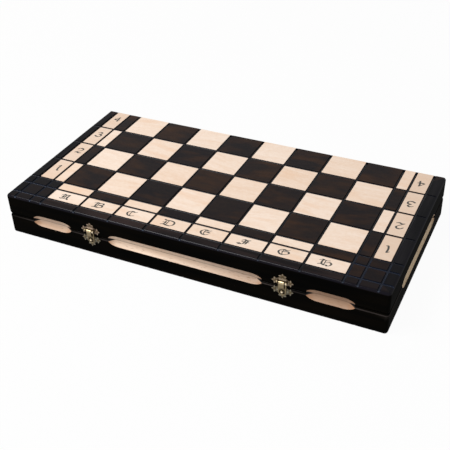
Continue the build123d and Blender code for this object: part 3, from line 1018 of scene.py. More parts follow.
# %% [markdown]
# ## The lettering
#
# The border carries the files A to H and the ranks 1 to 8 in a black-letter hand. A font
# would need a file, and a smooth outline would miss what makes this lettering: it is
# written with a broad pen, so a stroke is wide or thin by its direction alone. So here each
# character is a few strokes of a pen. A stroke is a smooth line through some points, and
# the nib is a thin slanted rectangle that slides along it. A Delaunay triangulation joins
# all the swept patches of a character into one clean area. The points are in hundredths of
# a character's height, from its lower left corner.
# %% The strokes of each character
wide, thin = 1.0, 0.4
inner_hair = (thin, [(50, 90), (44, 50), (52, 14)])
strokes_of = {
    "A": [(wide, [(4, 80), (22, 96), (50, 88), (84, 98)]),
          (wide, [(84, 96), (80, 60), (82, 20), (100, 6)]),
          (wide, [(40, 88), (28, 62), (32, 30), (12, 8)]),
          (thin, [(52, 88), (50, 12)]),
          (thin, [(10, 48), (80, 52)]),
          (thin, [(2, 14), (22, 2), (50, 12), (84, 10)])],
    "B": [(wide, [(6, 78), (26, 96), (56, 88), (94, 97)]),
          (wide, [(34, 90), (28, 55), (32, 14)]),
          (thin, [(50, 90), (50, 10)]),
          (wide, [(96, 94), (98, 66), (62, 54)]),
          (wide, [(62, 54), (102, 48), (100, 16), (60, 4), (30, 10), (4, 2)])],
    "C": [(wide, [(62, 95), (26, 84), (10, 48), (30, 12), (64, 5), (92, 20)]),
          (wide, [(54, 92), (76, 86), (96, 96)]), inner_hair],
    "D": [(wide, [(6, 100), (30, 90), (70, 96), (106, 88), (120, 62), (116, 28), (94, 2)]),
          (wide, [(0, 4), (26, 12), (54, 3), (94, 2)]),
          (wide, [(28, 66), (32, 40), (20, 12)]),
          (thin, [(4, 46), (36, 54)]),
          (thin, [(54, 86), (50, 12)])],
    "E": [(wide, [(60, 95), (26, 84), (10, 48), (30, 12), (64, 5), (92, 20)]),
          (wide, [(52, 92), (76, 85), (100, 96)]),
          (wide, [(50, 54), (72, 60), (98, 54)]), inner_hair],
    "F": [(wide, [(36, 74), (52, 94), (80, 86), (108, 95)]),
          (wide, [(68, 86), (64, 46), (58, 18), (30, 4), (6, 12)]),
          (wide, [(92, 86), (87, 58), (82, 20)]),
          (thin, [(36, 52), (108, 56)]),
          (thin, [(6, 12), (22, 24), (40, 12)])],
    "G": [(wide, [(60, 95), (26, 84), (10, 48), (30, 12), (62, 4)]),
          (wide, [(52, 92), (78, 84), (100, 96)]),
          (wide, [(64, 60), (98, 68), (106, 36), (62, 4)]),
          (thin, [(52, 90), (46, 50), (54, 10)]),
          (thin, [(30, 60), (64, 60)])],
    "H": [(wide, [(2, 80), (20, 96), (42, 88)]),
          (wide, [(30, 92), (24, 52), (30, 16)]),
          (wide, [(2, 10), (24, 20), (52, 8), (72, 13), (84, 0)]),
          (thin, [(54, 88), (52, 20)]),
          (thin, [(42, 92), (66, 86), (90, 96)]),
          (wide, [(66, 50), (96, 66), (114, 44), (102, 12), (80, 2)])],
    "1": [(wide, [(6, 84), (22, 96), (20, 50), (28, 8), (42, 4)])],
    "2": [(wide, [(6, 72), (24, 94), (56, 92), (64, 68), (36, 36), (8, 10)]),
          (wide, [(8, 10), (30, 15), (50, 5), (72, 12)])],
    "3": [(wide, [(12, 84), (38, 97), (58, 80), (34, 56)]),
          (wide, [(34, 56), (66, 48), (64, 14), (32, 4), (6, 18)])],
    "4": [(thin, [(46, 98), (6, 44)]),
          (wide, [(6, 42), (30, 36), (66, 42)]),
          (wide, [(46, 96), (46, 50), (54, 6)])],
    "5": [(wide, [(16, 94), (40, 90), (66, 97)]),
          (thin, [(16, 94), (14, 56)]),
          (wide, [(14, 56), (46, 58), (64, 34), (46, 6), (22, 5), (6, 16)])],
    "6": [(wide, [(58, 96), (24, 72), (10, 34), (30, 5), (58, 14), (62, 42), (40, 55),
                  (14, 42)])],
    "7": [(wide, [(6, 84), (24, 95), (46, 88), (66, 95)]),
          (wide, [(64, 94), (42, 50), (34, 4)])],
    "8": [(wide, [(36, 54), (14, 74), (34, 96), (58, 78), (36, 54), (10, 28), (34, 4),
                  (62, 26), (36, 54)])],
}
print("characters:", "".join(strokes_of))


# %% Draw with the pen
nib_width, nib_thickness, nib_angle = 0.17, 0.065, math.radians(40)


def smooth_line(points, steps):
    """A smooth line through points, as a Catmull-Rom spline."""
    padded = [points[0], *points, points[-1]]
    line = []
    for a, b, c, d in zip(padded, padded[1:], padded[2:], padded[3:]):
        for step in range(steps):
            t = step / steps
            line.append(tuple(
                b[k] + 0.5 * t * (c[k] - a[k] + t * (2 * a[k] - 5 * b[k] + 4 * c[k] - d[k]
                                                     + t * (3 * (b[k] - c[k]) + d[k] - a[k])))
                for k in (0, 1)
            ))
    return [*line, tuple(points[-1])]


def pen_area(strokes):
    """The area that a character's strokes cover, as flat points and triangles."""
    points, patches = [], []
    across = Matrix.Rotation(nib_angle, 2)
    for size, stroke in strokes:
        nib = [across @ Vector((x * size * nib_width / 2, y * nib_thickness / 2))
               for x, y in ((-1, -1), (1, -1), (1, 1), (-1, 1))]
        line = [Vector(p) for p in smooth_line([(x / 100, y / 100) for x, y in stroke], 6)]
        for start, end in zip(line, line[1:]):
            swept = [start + corner for corner in nib] + [end + corner for corner in nib]
            hull = convex_hull_2d(swept)
            patches.append([len(points) + i for i in range(len(hull))])
            points += [swept[i] for i in hull]
    flat, _, triangles, _, _, patches_of = delaunay_2d_cdt(points, [], patches, 1, 1e-5)
    return flat, [t for t, covering in zip(triangles, patches_of) if covering]


def slab(points, triangles, front, back):
    """Closes flat triangles into a solid between a front and a back surface.

    front and back turn a flat point into its place in space.
    """
    count = len(points)
    faces = [tuple(t) for t in triangles]
    edges = {(t[i - 1], t[i]) for t in faces for i in range(3)}
    faces += [tuple(i + count for i in reversed(t)) for t in triangles]
    faces += [(b, a, a + count, b + count) for a, b in edges if (b, a) not in edges]
    return [front(p) for p in points] + [back(p) for p in points], faces


# %% [markdown]
# The letters stand upright for the player in front. A rank's number stands twice: upright
# on a player's left, and turned round on the right, for the player opposite. The underside
# carries the other player's half, so all is turned round there.
# %% Print the letters and numbers
letter_height, letter_stretch, digit_height = 9.0, 1.18, 11.2
ink_low, ink_high = 0.06, 0.02
letter_shift, nudges = 0.437, {"C": -1.6}
left_digit_shift, right_digit_shift = 0.577, 0.45
band_middle_x = (grid_x[-1] + grid_x[-2]) / 2
band_middle_y = (grid_y[0] + grid_y[1]) / 2


def printed(places, tray):
    """The ink of one half board, from characters with their middles, heights and turns."""
    all_points, all_faces = [], []
    for character, x, y, height, stretch, upside_down in places:
        flat, triangles = pen_area(strokes_of[character])
        low_x, high_x = (pick(p.x for p in flat) for pick in (min, max))
        middle = Vector(((low_x + high_x) / 2, 0.5))
        turned = -1 if upside_down else 1
        mirrored = 1 if tray == "upper" else -1

        def on_board(depth):
            z = top_z - depth if tray == "upper" else depth
            return lambda p: (
                x + (p.x - middle.x) * height * stretch * turned * mirrored,
                y + (p.y - middle.y) * height * turned,
                z,
            )

        points, faces = slab(flat, triangles, on_board(ink_high), on_board(ink_low))
        offset = len(all_points)
        all_points += points
        all_faces += [tuple(i + offset for i in face) for face in faces]
    return new_mesh(f"{tray}_letters", all_points, all_faces, [ink])


for tray in ("lower", "upper"):
    places = []
    for index, letter in enumerate("ABCDEFGH"):
        shift = letter_shift if tray == "upper" else 1 - letter_shift
        x = file_lines[index] + shift * pitch + nudges.get(letter, 0)
        places.append((letter, x, band_middle_y, letter_height, letter_stretch, False))
    for index in range(4):
        digit = str(index + 1) if tray == "upper" else str(8 - index)
        upright_side = -1 if tray == "upper" else 1
        for side in (-1, 1):
            upright = side == upright_side
            shift = left_digit_shift if upright else right_digit_shift
            y = rank_lines[index] + shift * pitch
            places.append((digit, side * band_middle_x, y, digit_height, 1.0, not upright))
    mesh = printed(places, tray)
    add_piece(f"{tray}_letters", mesh, f"{tray}_case", "stained_wood")

# %% [markdown]
# ## The felt lining
#
# A sheet of felt lies on the floor of each half, so the chessmen don't rattle. It is a real
# sheet of cloth, 393.6 x 180.7 mm and 1 mm thick, cut to fit between the rails. Felt glued
# to a flat floor has no folds, so a cloth simulation would give back the flat sheet. What
# it does have is a soft cut edge and a surface that is never quite level, and both come
# from moving the points of a fine grid.
# %% Lay the felt
felt_spacing, felt_edge_drop, felt_unevenness = 3.5, 0.35, 0.06


def felt_mesh(tray):
    """A thin closed sheet in its node's own box, rounded at its cut edge."""
    low, high = (corner * 1000 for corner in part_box(f"{tray}_lining"))
    columns = round((high.x - low.x) / felt_spacing)
    rows = round((high.y - low.y) / felt_spacing)
    chance = random.Random(f"{tray} felt")
    points, faces = [], []
    for facing in (0, 1):
        for row in range(rows + 1):
            for column in range(columns + 1):
                x = low.x + (high.x - low.x) * column / columns
                y = low.y + (high.y - low.y) * row / rows
                at_edge = row in (0, rows) or column in (0, columns)
                drop = felt_edge_drop if at_edge else chance.uniform(0.0, felt_unevenness)
                open_side = high.z - drop if tray == "lower" else low.z + drop
                glued_side = low.z if tray == "lower" else high.z
                points.append((x, y, open_side if facing else glued_side))
    count, width = (rows + 1) * (columns + 1), columns + 1
    for row in range(rows):
        for column in range(columns):
            a = row * width + column
            quad = (a, a + 1, a + width + 1, a + width)
            faces.append(quad)
            faces.append(tuple(i + count for i in reversed(quad)))
    rim = [*range(columns), *range(columns, count - 1, width),
           *range(count - 1, count - width, -1), *range(count - width, 0, -width)]
    for a, b in zip(rim, rim[1:] + rim[:1]):
        faces.append((b, a, a + count, b + count))
    return new_mesh(f"{tray}_felt", points, faces, [felt], smooth_below=40)


for tray in ("lower", "upper"):
    sheet = add_piece(f"{tray}_felt", felt_mesh(tray), f"{tray}_case", "felt", f"{tray}_lining")

# %% [markdown]
# ## Screws and nails
#
# Twelve screws hold the hinges and twelve nails the latches. All screws are alike and so
# are the nails, so two trees make them. A screw's slot ends up at any angle when it is
# driven home, and the tree's seed fixes those angles. Both kinds of head are turned shapes,
# so they start as a profile that goes round an axis.
# %% Build the fastener trees
screw_head_radius, screw_slot_width, screw_slot_depth = 1.98, 0.5, 0.4
screw_length, leaf_thickness = 9.0, 1.0
nail_head_radius, nail_head_height, nail_length = 1.0, 0.45, 6.0


def shank(nodes, sides, top, tip, cone_length, length):
    """A cone whose tip is as far below the origin as the length says."""
    cone = nodes.add("GeometryNodeMeshCone", {
        "Vertices": sides, "Radius Top": top, "Radius Bottom": tip, "Depth": cone_length,
    })
    down = nodes.add("ShaderNodeCombineXYZ", {"Z": length * -1})
    return nodes.add("GeometryNodeTransform", {"Geometry": cone, "Translation": down})


def on_each_point(nodes, given, shape, rotation):
    """Ends a tree with a real, finished copy of a shape on each point that it is given."""
    copies = nodes.add("GeometryNodeInstanceOnPoints", {
        "Points": given.output("Geometry"), "Instance": shape, "Rotation": rotation,
    })
    real = nodes.add("GeometryNodeRealizeInstances", {"Geometry": copies})
    return end_tree(nodes, coated(nodes, real, given.output("Finish")))


def screw_tree():
    """Countersunk slotted screws, head up on each point, each turned its own way."""
    nodes, given = new_tree("hinge_screws", {
        "Head Radius": "Float", "Length": "Float", "Seed": "Int", "Finish": "Material",
    })
    radius, length = given.output("Head Radius"), given.output("Length")
    head = nodes.add("GeometryNodeMeshCone", {
        "Vertices": 40, "Radius Top": radius, "Radius Bottom": radius * 0.5,
        "Depth": metres(leaf_thickness),
    })
    head = nodes.add(
        "GeometryNodeTransform",
        {"Geometry": head, "Translation": (0, 0, -metres(leaf_thickness))},
    )
    thread_length = length - metres(leaf_thickness)
    thread = shank(nodes, 24, radius * 0.5, radius * 0.1, thread_length, length)
    slot = nodes.add("GeometryNodeMeshCube", {
        "Size": tuple(metres(s) for s in
                      (3 * screw_head_radius, screw_slot_width, 2 * screw_slot_depth)),
    })
    slotted = nodes.add(
        "GeometryNodeMeshBoolean", {0: head, 1: [slot]}, operation="DIFFERENCE", solver="EXACT"
    )
    screw = nodes.add("GeometryNodeJoinGeometry", {"Geometry": [slotted, thread]})
    angle = nodes.add(
        "FunctionNodeRandomValue",
        {2: 0.0, 3: math.pi, "Seed": given.output("Seed")},
        output=1,
        data_type="FLOAT",
    )
    spin = nodes.add("ShaderNodeCombineXYZ", {"Z": angle})
    return on_each_point(nodes, given, screw, spin)


def nail_tree():
    """Round-headed nails on points, their heads towards the front."""
    nodes, given = new_tree("latch_nails", {
        "Head Radius": "Float", "Head Height": "Float", "Length": "Float",
        "Finish": "Material",
    })
    radius, height = given.output("Head Radius"), given.output("Head Height")
    ball = nodes.add("GeometryNodeMeshUVSphere", {"Segments": 28, "Rings": 14, "Radius": 1.0})
    flat = nodes.add("ShaderNodeCombineXYZ", {"X": radius, "Y": radius, "Z": height})
    head = nodes.add("GeometryNodeTransform", {"Geometry": ball, "Scale": flat})
    length = given.output("Length")
    point = shank(nodes, 16, radius * 0.45, radius * 0.1, length, length)
    nail = nodes.add("GeometryNodeJoinGeometry", {"Geometry": [head, point]})
    return on_each_point(nodes, given, nail, (math.pi / 2, 0, 0))


# %% Drive the screws and the nails
hinge_x, screw_y, screw_spacing = 120.0, 97.5, 13.0
latch_places = {"left": -105.3, "right": 108.5}
plate_thickness = 0.6
plate_z = {"lower": 20.2, "upper": 30.75}
nail_reach_side, nail_reach_end = 7.9, 6.1
slot_seed = 5
screws, nails = screw_tree(), nail_tree()
for tray, turned in (("lower", 1), ("upper", -1)):
    places = [(side * hinge_x + step * screw_spacing, turned * screw_y, turned * parting_z - 0.02)
              for side in (-1, 1) for step in (-1, 0, 1)]
    mesh = run_tree(screws, places, {
        "Head Radius": metres(screw_head_radius), "Length": metres(screw_length),
        "Seed": slot_seed, "Finish": steel,
    })
    if tray == "upper":
        mesh.transform(Matrix.Rotation(math.pi, 4, "X"))
    add_piece(f"{tray}_slotted_screws", mesh, f"{tray}_case", "pin_steel", f"{tray}_hinge_screws")

    up = 1 if tray == "upper" else -1
    places = [(latch_x + x, front_y - plate_thickness, plate_z[tray] + z)
              for latch_x in latch_places.values()
              for x, z in ((-nail_reach_side, 0), (nail_reach_side, 0), (0, up * nail_reach_end))]
    mesh = run_tree(nails, places, {
        "Head Radius": metres(nail_head_radius), "Head Height": metres(nail_head_height),
        "Length": metres(nail_length), "Finish": plain_brass,
    })
    mesh.shade_smooth()
    add_piece(f"{tray}_round_nails", mesh, f"{tray}_case", "antique_brass", f"{tray}_latch_nails")

# %% [markdown]
# ## The latches
#
# Each latch is stamped from thin brass: an upper and a lower plate shaped like three
# leaves, a hooded hasp that swings on a pin in the upper plate, and a domed stud on the
# lower plate that its ring drops over. Stamping is a relief: every point of the sheet is
# pushed out by some height. So a stamped part is made here as its outline in plan, filled
# with an even scatter of points, and a rule that gives each point its height. Sculpting by
# hand would take longer and wouldn't come out alike four times.
# %% Stamp a relief from an outline
stamp_spacing = 0.4


def inside(point, loops):
    """Whether a point lies inside closed outlines, counting one in another as a hole."""
    crossings = 0
    for loop in loops:
        for a, b in zip(loop, loop[1:] + loop[:1]):
            if (a[1] > point[1]) != (b[1] > point[1]):
                reach = a[0] + (point[1] - a[1]) / (b[1] - a[1]) * (b[0] - a[0])
                crossings += reach > point[0]
    return crossings % 2 == 1


def from_line(point, a, b):
    """The distance from a point to the line between two others."""
    a, b, point = Vector(a), Vector(b), Vector(point[:2])
    along = b - a
    share = clamp((point - a).dot(along) / max(along.length_squared, 1e-9))
    return (point - a - along * share).length


def from_edge(point, loops):
    return min(from_line(point, a, b) for loop in loops
               for a, b in zip(loop, loop[1:] + loop[:1]))


def filled(loops, spacing, creases):
    """An outline's inside as triangles over an even lattice of points.

    A crease is a line inside it that the triangles must follow.
    """
    points = [Vector(p) for line in (*loops, *creases) for p in line]
    edges, start = [], 0
    for line in (*loops, *creases):
        closing = 0 if line in loops else 1
        edges += [(start + i, start + (i + 1) % len(line)) for i in range(len(line) - closing)]
        start += len(line)
    low = [min(p[k] for p in points) for k in (0, 1)]
    high = [max(p[k] for p in points) for k in (0, 1)]
    rise = spacing * math.sqrt(3) / 2
    for row in range(int((high[1] - low[1]) / rise) + 1):
        for column in range(int((high[0] - low[0]) / spacing) + 2):
            p = (low[0] + (column + row % 2 / 2) * spacing, low[1] + (row + 0.5) * rise)
            clear = from_edge(p, loops) > 0.45 * spacing and all(
                from_line(p, a, b) > 0.3 * spacing
                for line in creases for a, b in zip(line, line[1:])
            )
            if clear and inside(p, loops):
                points.append(Vector(p))
    flat, _, triangles, *_ = delaunay_2d_cdt(points, edges, [], 0, 1e-6)
    kept = [t for t in triangles
            if inside(sum((flat[i] for i in t), Vector((0, 0))) / 3, loops)]
    return flat, kept


def on_front(x, height_of):
    """Turns a plan point of a latch into its place in front of the case."""
    return lambda p: (x + p.x, front_y - height_of(p), p.y)


def stamped(name, x, loops, front, back, wear_and_painted_light, finish, creases=()):
    """A stamped part's mesh, with each point's polish and painted light kept as an attribute."""
    flat, triangles = filled(loops, stamp_spacing, creases)
    points, faces = slab(flat, triangles, on_front(x, front), on_front(x, back))
    return new_mesh(name, points, faces, [finish], smooth_below=50,
                    wear_and_painted_light=[wear_and_painted_light(p) for p in flat] + [0.0] * len(flat))


# %% [markdown]
# A leaf of a plate has three points with hollows between them, like ivy. The plates'
# outlines go from point to point, with the points a little blunt. Ribs run from the nail to
# the three points, and the sheet falls away towards its edge. Above the pin, the upper
# plate swells out towards the hood's barrel, and leaves room for the hood to swing up.
# %% Stamp the leaf-shaped plates
leaf_points = [
    [(0, 9.3), (1.8, 7.5), (4.1, 6.6)],
    [(4.1, 6.6), (3.6, 4.8), (4.7, 3.5), (6.5, 2.9), (8.3, 4.1)],
    [(8.3, 4.1), (9.4, 1.8), (11.2, 0)],
    [(11.2, 0), (9.4, -1.8), (8.3, -4.1)],
    [(8.3, -4.1), (6.8, -2.9), (5.2, -3.6)],
]
leaf_ribs = [
    ((0, 6.1), (0, 9.0)), ((0, 6.1), (3.7, 6.5)), ((0, 6.1), (-3.7, 6.5)),
    ((7.9, 0), (10.8, 0)), ((7.9, 0), (8.3, 3.6)), ((7.9, 0), (8.3, -3.6)),
    ((7.9, 0), (3.5, 0)), ((0, 6.1), (0, 3.5)),
]
pin_z, pin_standoff, barrel_radius = 31.3, 2.4, 1.7
plate_edge_thickness, edge_rise, edge_reach = 0.3, 0.16, 0.4
rib_height, rib_reach, dish_depth, dish_reach = 0.26, 0.55, 0.12, 1.9
swell_height, swell_above_pin, swell_reach, swell_half_width = 0.5, 1.3, 1.2, 2.6


def blunted(outline, cut=0.28, sharpest=130):
    """An outline with its sharp points, in degrees, cut short as a stamp's are."""
    rounded = []
    for before, point, after in zip(outline[-1:] + outline, outline, outline[1:] + outline[:1]):
        tip = Vector(point)
        sides = [(Vector(p) - tip) for p in (before, after)]
        if math.degrees(sides[0].angle(sides[1])) > sharpest:
            rounded.append(point)
            continue
        shoulders = [tip + side.normalized() * cut for side in sides]
        crown = (shoulders[0] + shoulders[1] + 2 * tip) / 4
        rounded += [tuple(p) for p in (shoulders[0], crown, shoulders[1])]
    return rounded


def plate_outline(middle_z, up):
    """A plate's outline, from its top point round by the right."""
    half = [p for arc in leaf_points for p in smooth_line(arc, 5)[:-1]] + [(5.2, -3.6)]
    whole = half + [(-x, z) for x, z in reversed(half[1:])]
    return blunted([(x, middle_z + up * z) for x, z in whole])


def fading(distance, reach):
    """1 at no distance, and softly down to 0 some way past the reach."""
    return math.exp(-((distance / reach) ** 2))


def leaf_relief(middle_z, up, outline):
    """How far a plate stands out from the case at each point."""
    def height(p):
        local = Vector((abs(p.x), up * (p.y - middle_z)))
        rib = max(fading(from_line(local, a, b), rib_reach) for a, b in leaf_ribs)
        dish = fading(nail_distance(p, middle_z, up), dish_reach)
        edge = edge_rise * (1 - math.exp(-from_edge(p, [outline]) / edge_reach))
        swell = swell_height * behind_hood(p, up)
        return plate_edge_thickness + edge + rib_height * rib - dish_depth * dish + swell
    return height


def nail_distance(p, middle_z, up):
    local = Vector((abs(p.x), up * (p.y - middle_z)))
    return min((local - Vector(n)).length for n in ((7.9, 0), (0, 6.1)))


def behind_hood(p, up):
    """The swell of the upper plate behind the hood's barrel, from 0 to 1."""
    if up < 0 or p.y < pin_z:
        return 0.0
    aside = max(0.0, abs(p.x) - swell_half_width)
    return fading(p.y - pin_z - swell_above_pin, swell_reach) * fading(aside, 1.4)


def plate_mesh(name, x, middle_z, up, finish):
    outline = plate_outline(middle_z, up)
    height = leaf_relief(middle_z, up, outline)

    def wear_and_painted_light(p):
        hollow = fading(nail_distance(p, middle_z, up), 1.5)
        return clamp((height(p) - 0.2) / 0.5) * (1 - 0.55 * hollow)

    return stamped(name, x, [outline], height, lambda p: 0.0, wear_and_painted_light, finish)


# %% [markdown]
# The hasp is a flat strap that ends in a ring, with a hood pressed out of it. The hood has
# steep walls, which an even scatter of points can't follow, so lines along its foot and its
# rounding are put into the triangulation as creases. Its front runs down straight from the
# barrel and slopes back to the strap at the bottom. Behind, the hood is hollow.
# %% Stamp the hood and the ring
hood_half, hood_front, hood_wall, hood_edge = 2.95, 4.1, 0.6, 0.55
hood_top_z, hood_bottom_z, hood_foot_z = 32.9, 26.0, 23.8
strap_half, strap_top_z = 4.2, 29.1
ring_z, ring_radius, ring_hole = 19.5, 4.2, 2.55
ring_back, ring_front, strap_rounding = 0.8, 1.6, 0.25
hollow_top_z, strap_lean = 29.6, 0.62


def circle(z, radius, start, end, count):
    """Points on a circle about the latch's middle line, between two angles in degrees."""
    angles = [math.radians(start + (end - start) * i / count) for i in range(count + 1)]
    return [(radius * math.cos(a), z + radius * math.sin(a)) for a in angles]


def hasp_outline():
    """The hood's top, the strap's shoulders and sides, and the ring."""
    right = [(hood_half, z) for z in (hood_top_z, 31.3, 30.2, strap_top_z)]
    right += [(3.6, strap_top_z), (4.0, 28.9), (strap_half, 28.5)]
    right += [(strap_half, z) for z in (27.0, 25.0, 23.0, 21.0)]
    right += circle(ring_z, ring_radius, 0, -90, 22)[:-1]
    left = [(-x, z) for x, z in reversed(right)]
    return right + [(0, ring_z - ring_radius)] + left


def hood_creases():
    """Lines across the hood's bend and down its walls, close together where they round."""
    bend = [hood_top_z - 0.02, 32.72, 32.5, 32.2, 31.8, 31.3]
    heights = [*bend, 30.7, 30.0, 28.0, 27.0, hood_bottom_z, 25.2, 24.5, hood_foot_z]
    reach = hood_half - hood_edge
    lines = [[(reach * (i / 6 - 1), z) for i in range(13)] for z in bend[1:-1]]
    for side in (-1, 1):
        for inwards in (0.05, 0.17, 0.33, hood_edge):
            lines.append([(side * (hood_half - inwards), z) for z in heights])
        lines.append([(side * hood_half, z) for z in (28.9, 27.5, 26.5, hood_bottom_z, 25.0,
                                                      hood_foot_z)])
    return lines


def hood_line(z):
    """How far the hood's middle stands out at each height."""
    if z > pin_z:
        return pin_standoff + math.sqrt(max(0, barrel_radius**2 - (z - pin_z) ** 2))
    share = clamp((hood_bottom_z + 0.3 - z) / (hood_bottom_z + 0.3 - hood_foot_z))
    return hood_front + (ring_front - hood_front) * share * share * (3 - 2 * share)


def strap_back(z):
    return ring_back + max(0, z - hollow_top_z) * strap_lean


def hasp_front(loops):
    def height(p):
        inwards = hood_half - abs(p.x)
        foot = ring_front if p.y < strap_top_z else strap_back(p.y) + 0.1
        if inwards <= 0 or p.y <= hood_foot_z:
            short = max(0, strap_rounding - from_edge(p, loops))
            return ring_front - strap_rounding + math.sqrt(strap_rounding**2 - short**2)
        rounding = max(0, 1 - inwards / hood_edge)
        return foot + (hood_line(p.y) - foot) * math.sqrt(1 - rounding**2)
    return height


def hasp_back(loops):
    front = hasp_front(loops)

    def height(p):
        hollow = (hood_foot_z + hood_wall < p.y < hollow_top_z
                  and abs(p.x) < hood_half - hood_wall)
        return max(ring_back, front(p) - hood_wall) if hollow else strap_back(p.y)
    return height


def hasp_wear_and_light(p):
    """Polish with a painted highlight on the hood's rounded top, painted shade on its walls and
    round the hole, and a lighter tone on the strap's sides and the ring's lowest rim.
    """
    if p.y <= hood_foot_z + 0.4 or abs(p.x) > hood_half:
        from_hole = (Vector(p) - Vector((0, ring_z))).length - ring_hole
        lowest = clamp((ring_z - 2.2 - p.y) / 1.2) * clamp(from_hole / 1.1)
        at_side = max(0, 1 - abs(abs(p.x) - 3.8))
        # Painted shade: darker round the hole.
        at_hole = max(0, 1 - from_hole / 0.9)
        return 0.3 + 0.2 * at_side - 0.25 * at_hole + 0.45 * lowest
    # Painted shade on the hood's walls.
    if hood_half - abs(p.x) < 0.3:
        return 0.05
    # Polish with a painted highlight on the hood's rounded top.
    return 0.52 + 0.48 * clamp((p.y - 29.8) / 1.4)


def hasp_mesh(name, x):
    hole = circle(ring_z, ring_hole, 360, 0, 32)[:-1]
    loops = [hasp_outline(), hole]
    return stamped(name, x, loops, hasp_front(loops), hasp_back(loops), hasp_wear_and_light, hood_brass,
                   hood_creases())


# %% [markdown]
# The rest of a latch is turned or rolled: the stud's dome, the hood's barrel round the pin,
# and the two short barrels of the upper plate. Each is a profile taken round an axis,
# closed at its ends. Barrels that a tab joins to the plate get the tab in the same mesh.
# %% Turn the studs and the barrels
def turned_points(profile, place, sides=40):
    """Takes a profile of (radius, distance) pairs round an axis, closed at both ends.

    place turns (distance along the axis, and two across it) into a place in space.
    """
    points = [place(profile[0][1], 0, 0)]
    for radius, along in profile[1:-1]:
        for i in range(sides):
            angle = 2 * math.pi * i / sides
            points.append(place(along, radius * math.cos(angle), radius * math.sin(angle)))
    points.append(place(profile[-1][1], 0, 0))
    rings, last = len(profile) - 2, len(points) - 1
    faces = [(0, 1 + (i + 1) % sides, 1 + i) for i in range(sides)]
    for ring in range(rings - 1):
        a, b = 1 + ring * sides, 1 + (ring + 1) * sides
        faces += [(a + i, a + (i + 1) % sides, b + (i + 1) % sides, b + i) for i in range(sides)]
    a = 1 + (rings - 1) * sides
    faces += [(last, a + i, a + (i + 1) % sides) for i in range(sides)]
    return points, faces


def barrel(x, half_length, radius, ease=0.25):
    """A short barrel along X with eased ends, on the hasp pin's line."""
    profile = [(0, -half_length), (radius - ease, -half_length),
               (radius - 0.3 * ease, -half_length + 0.3 * ease), (radius, -half_length + ease),
               (radius, half_length - ease), (radius - 0.3 * ease, half_length - 0.3 * ease),
               (radius - ease, half_length), (0, half_length)]
    return turned_points(
        profile, lambda along, u, v: (x + along, front_y - pin_standoff + u, pin_z + v)
    )


def tab(x, half_length):
    """The folded metal between a plate's barrel and the plate."""
    side = [(0.1, pin_z - barrel_radius + 0.1), (pin_standoff, pin_z - barrel_radius + 0.02),
            (pin_standoff, pin_z + 0.9), (0.1, pin_z + 1.1)]
    points = [(x + end * half_length, front_y - out, z) for end in (-1, 1) for out, z in side]
    faces = [(0, 1, 2, 3), (7, 6, 5, 4), (0, 4, 5, 1), (1, 5, 6, 2), (2, 6, 7, 3), (3, 7, 4, 0)]
    return points, faces


def joined(name, shapes, polish, smooth_below=35):
    """One mesh from several shapes of points and faces, each point given its polish and painted
    light by a rule.
    """
    points, faces = [], []
    for more_points, more_faces in shapes:
        offset = len(points)
        points += more_points
        faces += [tuple(i + offset for i in face) for face in more_faces]
    wear_and_painted_light = [polish(p) for p in points]
    return new_mesh(name, points, faces, [turned_brass], smooth_below, wear_and_painted_light)


def barrel_wear_and_highlight(p, wear_and_highlight):
    """Polish with a painted highlight across a barrel's front: wide and bright on the barrels
    right of the hood, dimmer and higher on the left ones, and darker elsewhere as painted shade.
    """
    angle = math.degrees(math.atan2(p[2] - pin_z, front_y - pin_standoff - p[1]))
    # The barrels right of the hood get the wider, brighter painted highlight.
    if wear_and_highlight:
        return 0.1 + 0.9 * math.exp(-(((angle - 2) / 48) ** 4))
    return 0.15 + 0.5 * fading(angle - 30, 30)


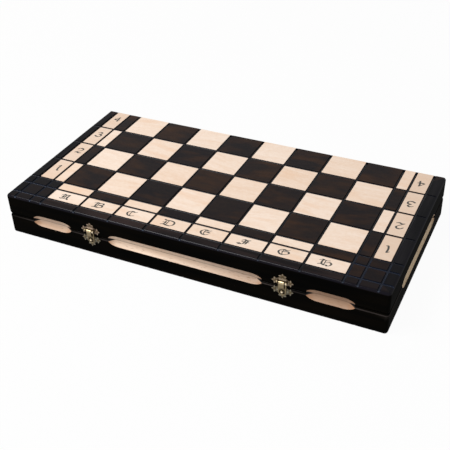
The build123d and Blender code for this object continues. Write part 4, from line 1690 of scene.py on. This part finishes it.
def stud_mesh(name, x):
    """The domed stud: a collar on the plate, a neck, and a crown."""
    crown = [(1.9 * math.cos(a), 1.45 + 1.25 * math.sin(a))
             for a in (math.radians(d) for d in (0, 15, 30, 45, 60, 75))]
    profile = [(0, -5.0), (1.1, -5.0), (1.1, 0.55), (1.75, 0.6), (1.75, 1.2), (1.9, 1.3),
               *crown, (0, 2.7)]
    shape = turned_points(profile, lambda along, u, v: (x + u, front_y - along, ring_z + v))
    # The crown is polished, and its pale polish also paints a brighter highlight.
    return joined(name, [shape], lambda p: 1.0 if front_y - p[1] > 2.4 else 0.25, 40)


# %% Fit both latches
hood_barrel_half, hood_barrel_radius = 3.5, 1.4
plate_barrel_x, plate_barrel_half, plate_barrel_radius, tab_half = 4.55, 0.85, 1.65, 0.78
# The hood's barrel is painted dark: painted shade at its ends beside the hood.
barrel_painted_shade = 0.1

for hand, x in latch_places.items():
    for tray, up, node, finish in (("upper", 1, f"{hand}_latch_plate", plate_brass[hand]),
                                   ("lower", -1, f"{hand}_strike_plate", strike_brass)):
        mesh = plate_mesh(node, x, plate_z[tray], up, finish)
        add_piece(f"{hand}_leaf_plate_{tray}", mesh, f"{tray}_case", "antique_brass", node)

    shapes = []
    for side in (-1, 1):
        middle = x + side * plate_barrel_x
        shapes += [barrel(middle, plate_barrel_half, plate_barrel_radius), tab(middle, tab_half)]
    # The barrels right of the hood take a wider, brighter painted highlight than the left ones.
    mesh = joined(f"{hand}_plate_barrels", shapes, lambda p: barrel_wear_and_highlight(p, p[0] > x))
    add_piece(f"{hand}_plate_barrels", mesh, "upper_case", "antique_brass")

    add_piece(f"{hand}_hood", hasp_mesh(f"{hand}_hood", x), f"{hand}_hasp", "antique_brass",
              f"{hand}_hasp")
    mesh = joined(f"{hand}_hood_barrel", [barrel(x, hood_barrel_half, hood_barrel_radius)],
                  lambda p: barrel_painted_shade)
    add_piece(f"{hand}_hood_barrel", mesh, f"{hand}_hasp", "antique_brass")

    mesh = stud_mesh(f"{hand}_stud", x)
    add_piece(f"{hand}_domed_stud", mesh, "lower_case", "antique_brass", f"{hand}_strike_stud")

# %% [markdown]
# ## The model's size
#
# The box of everything made here is printed, as the solid model's was at the start, and
# the two boxes are put side by side in a table. Nothing made here may stand outside the
# solid model.
# %% Set both boxes side by side
model_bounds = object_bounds()
boxes = {name: [list(corner) for corner in box]
         for name, box in (("cad", cad_bounds), ("model", model_bounds))}
print("model box, mm:", [[round(1000 * c, 2) for c in corner] for corner in model_bounds])
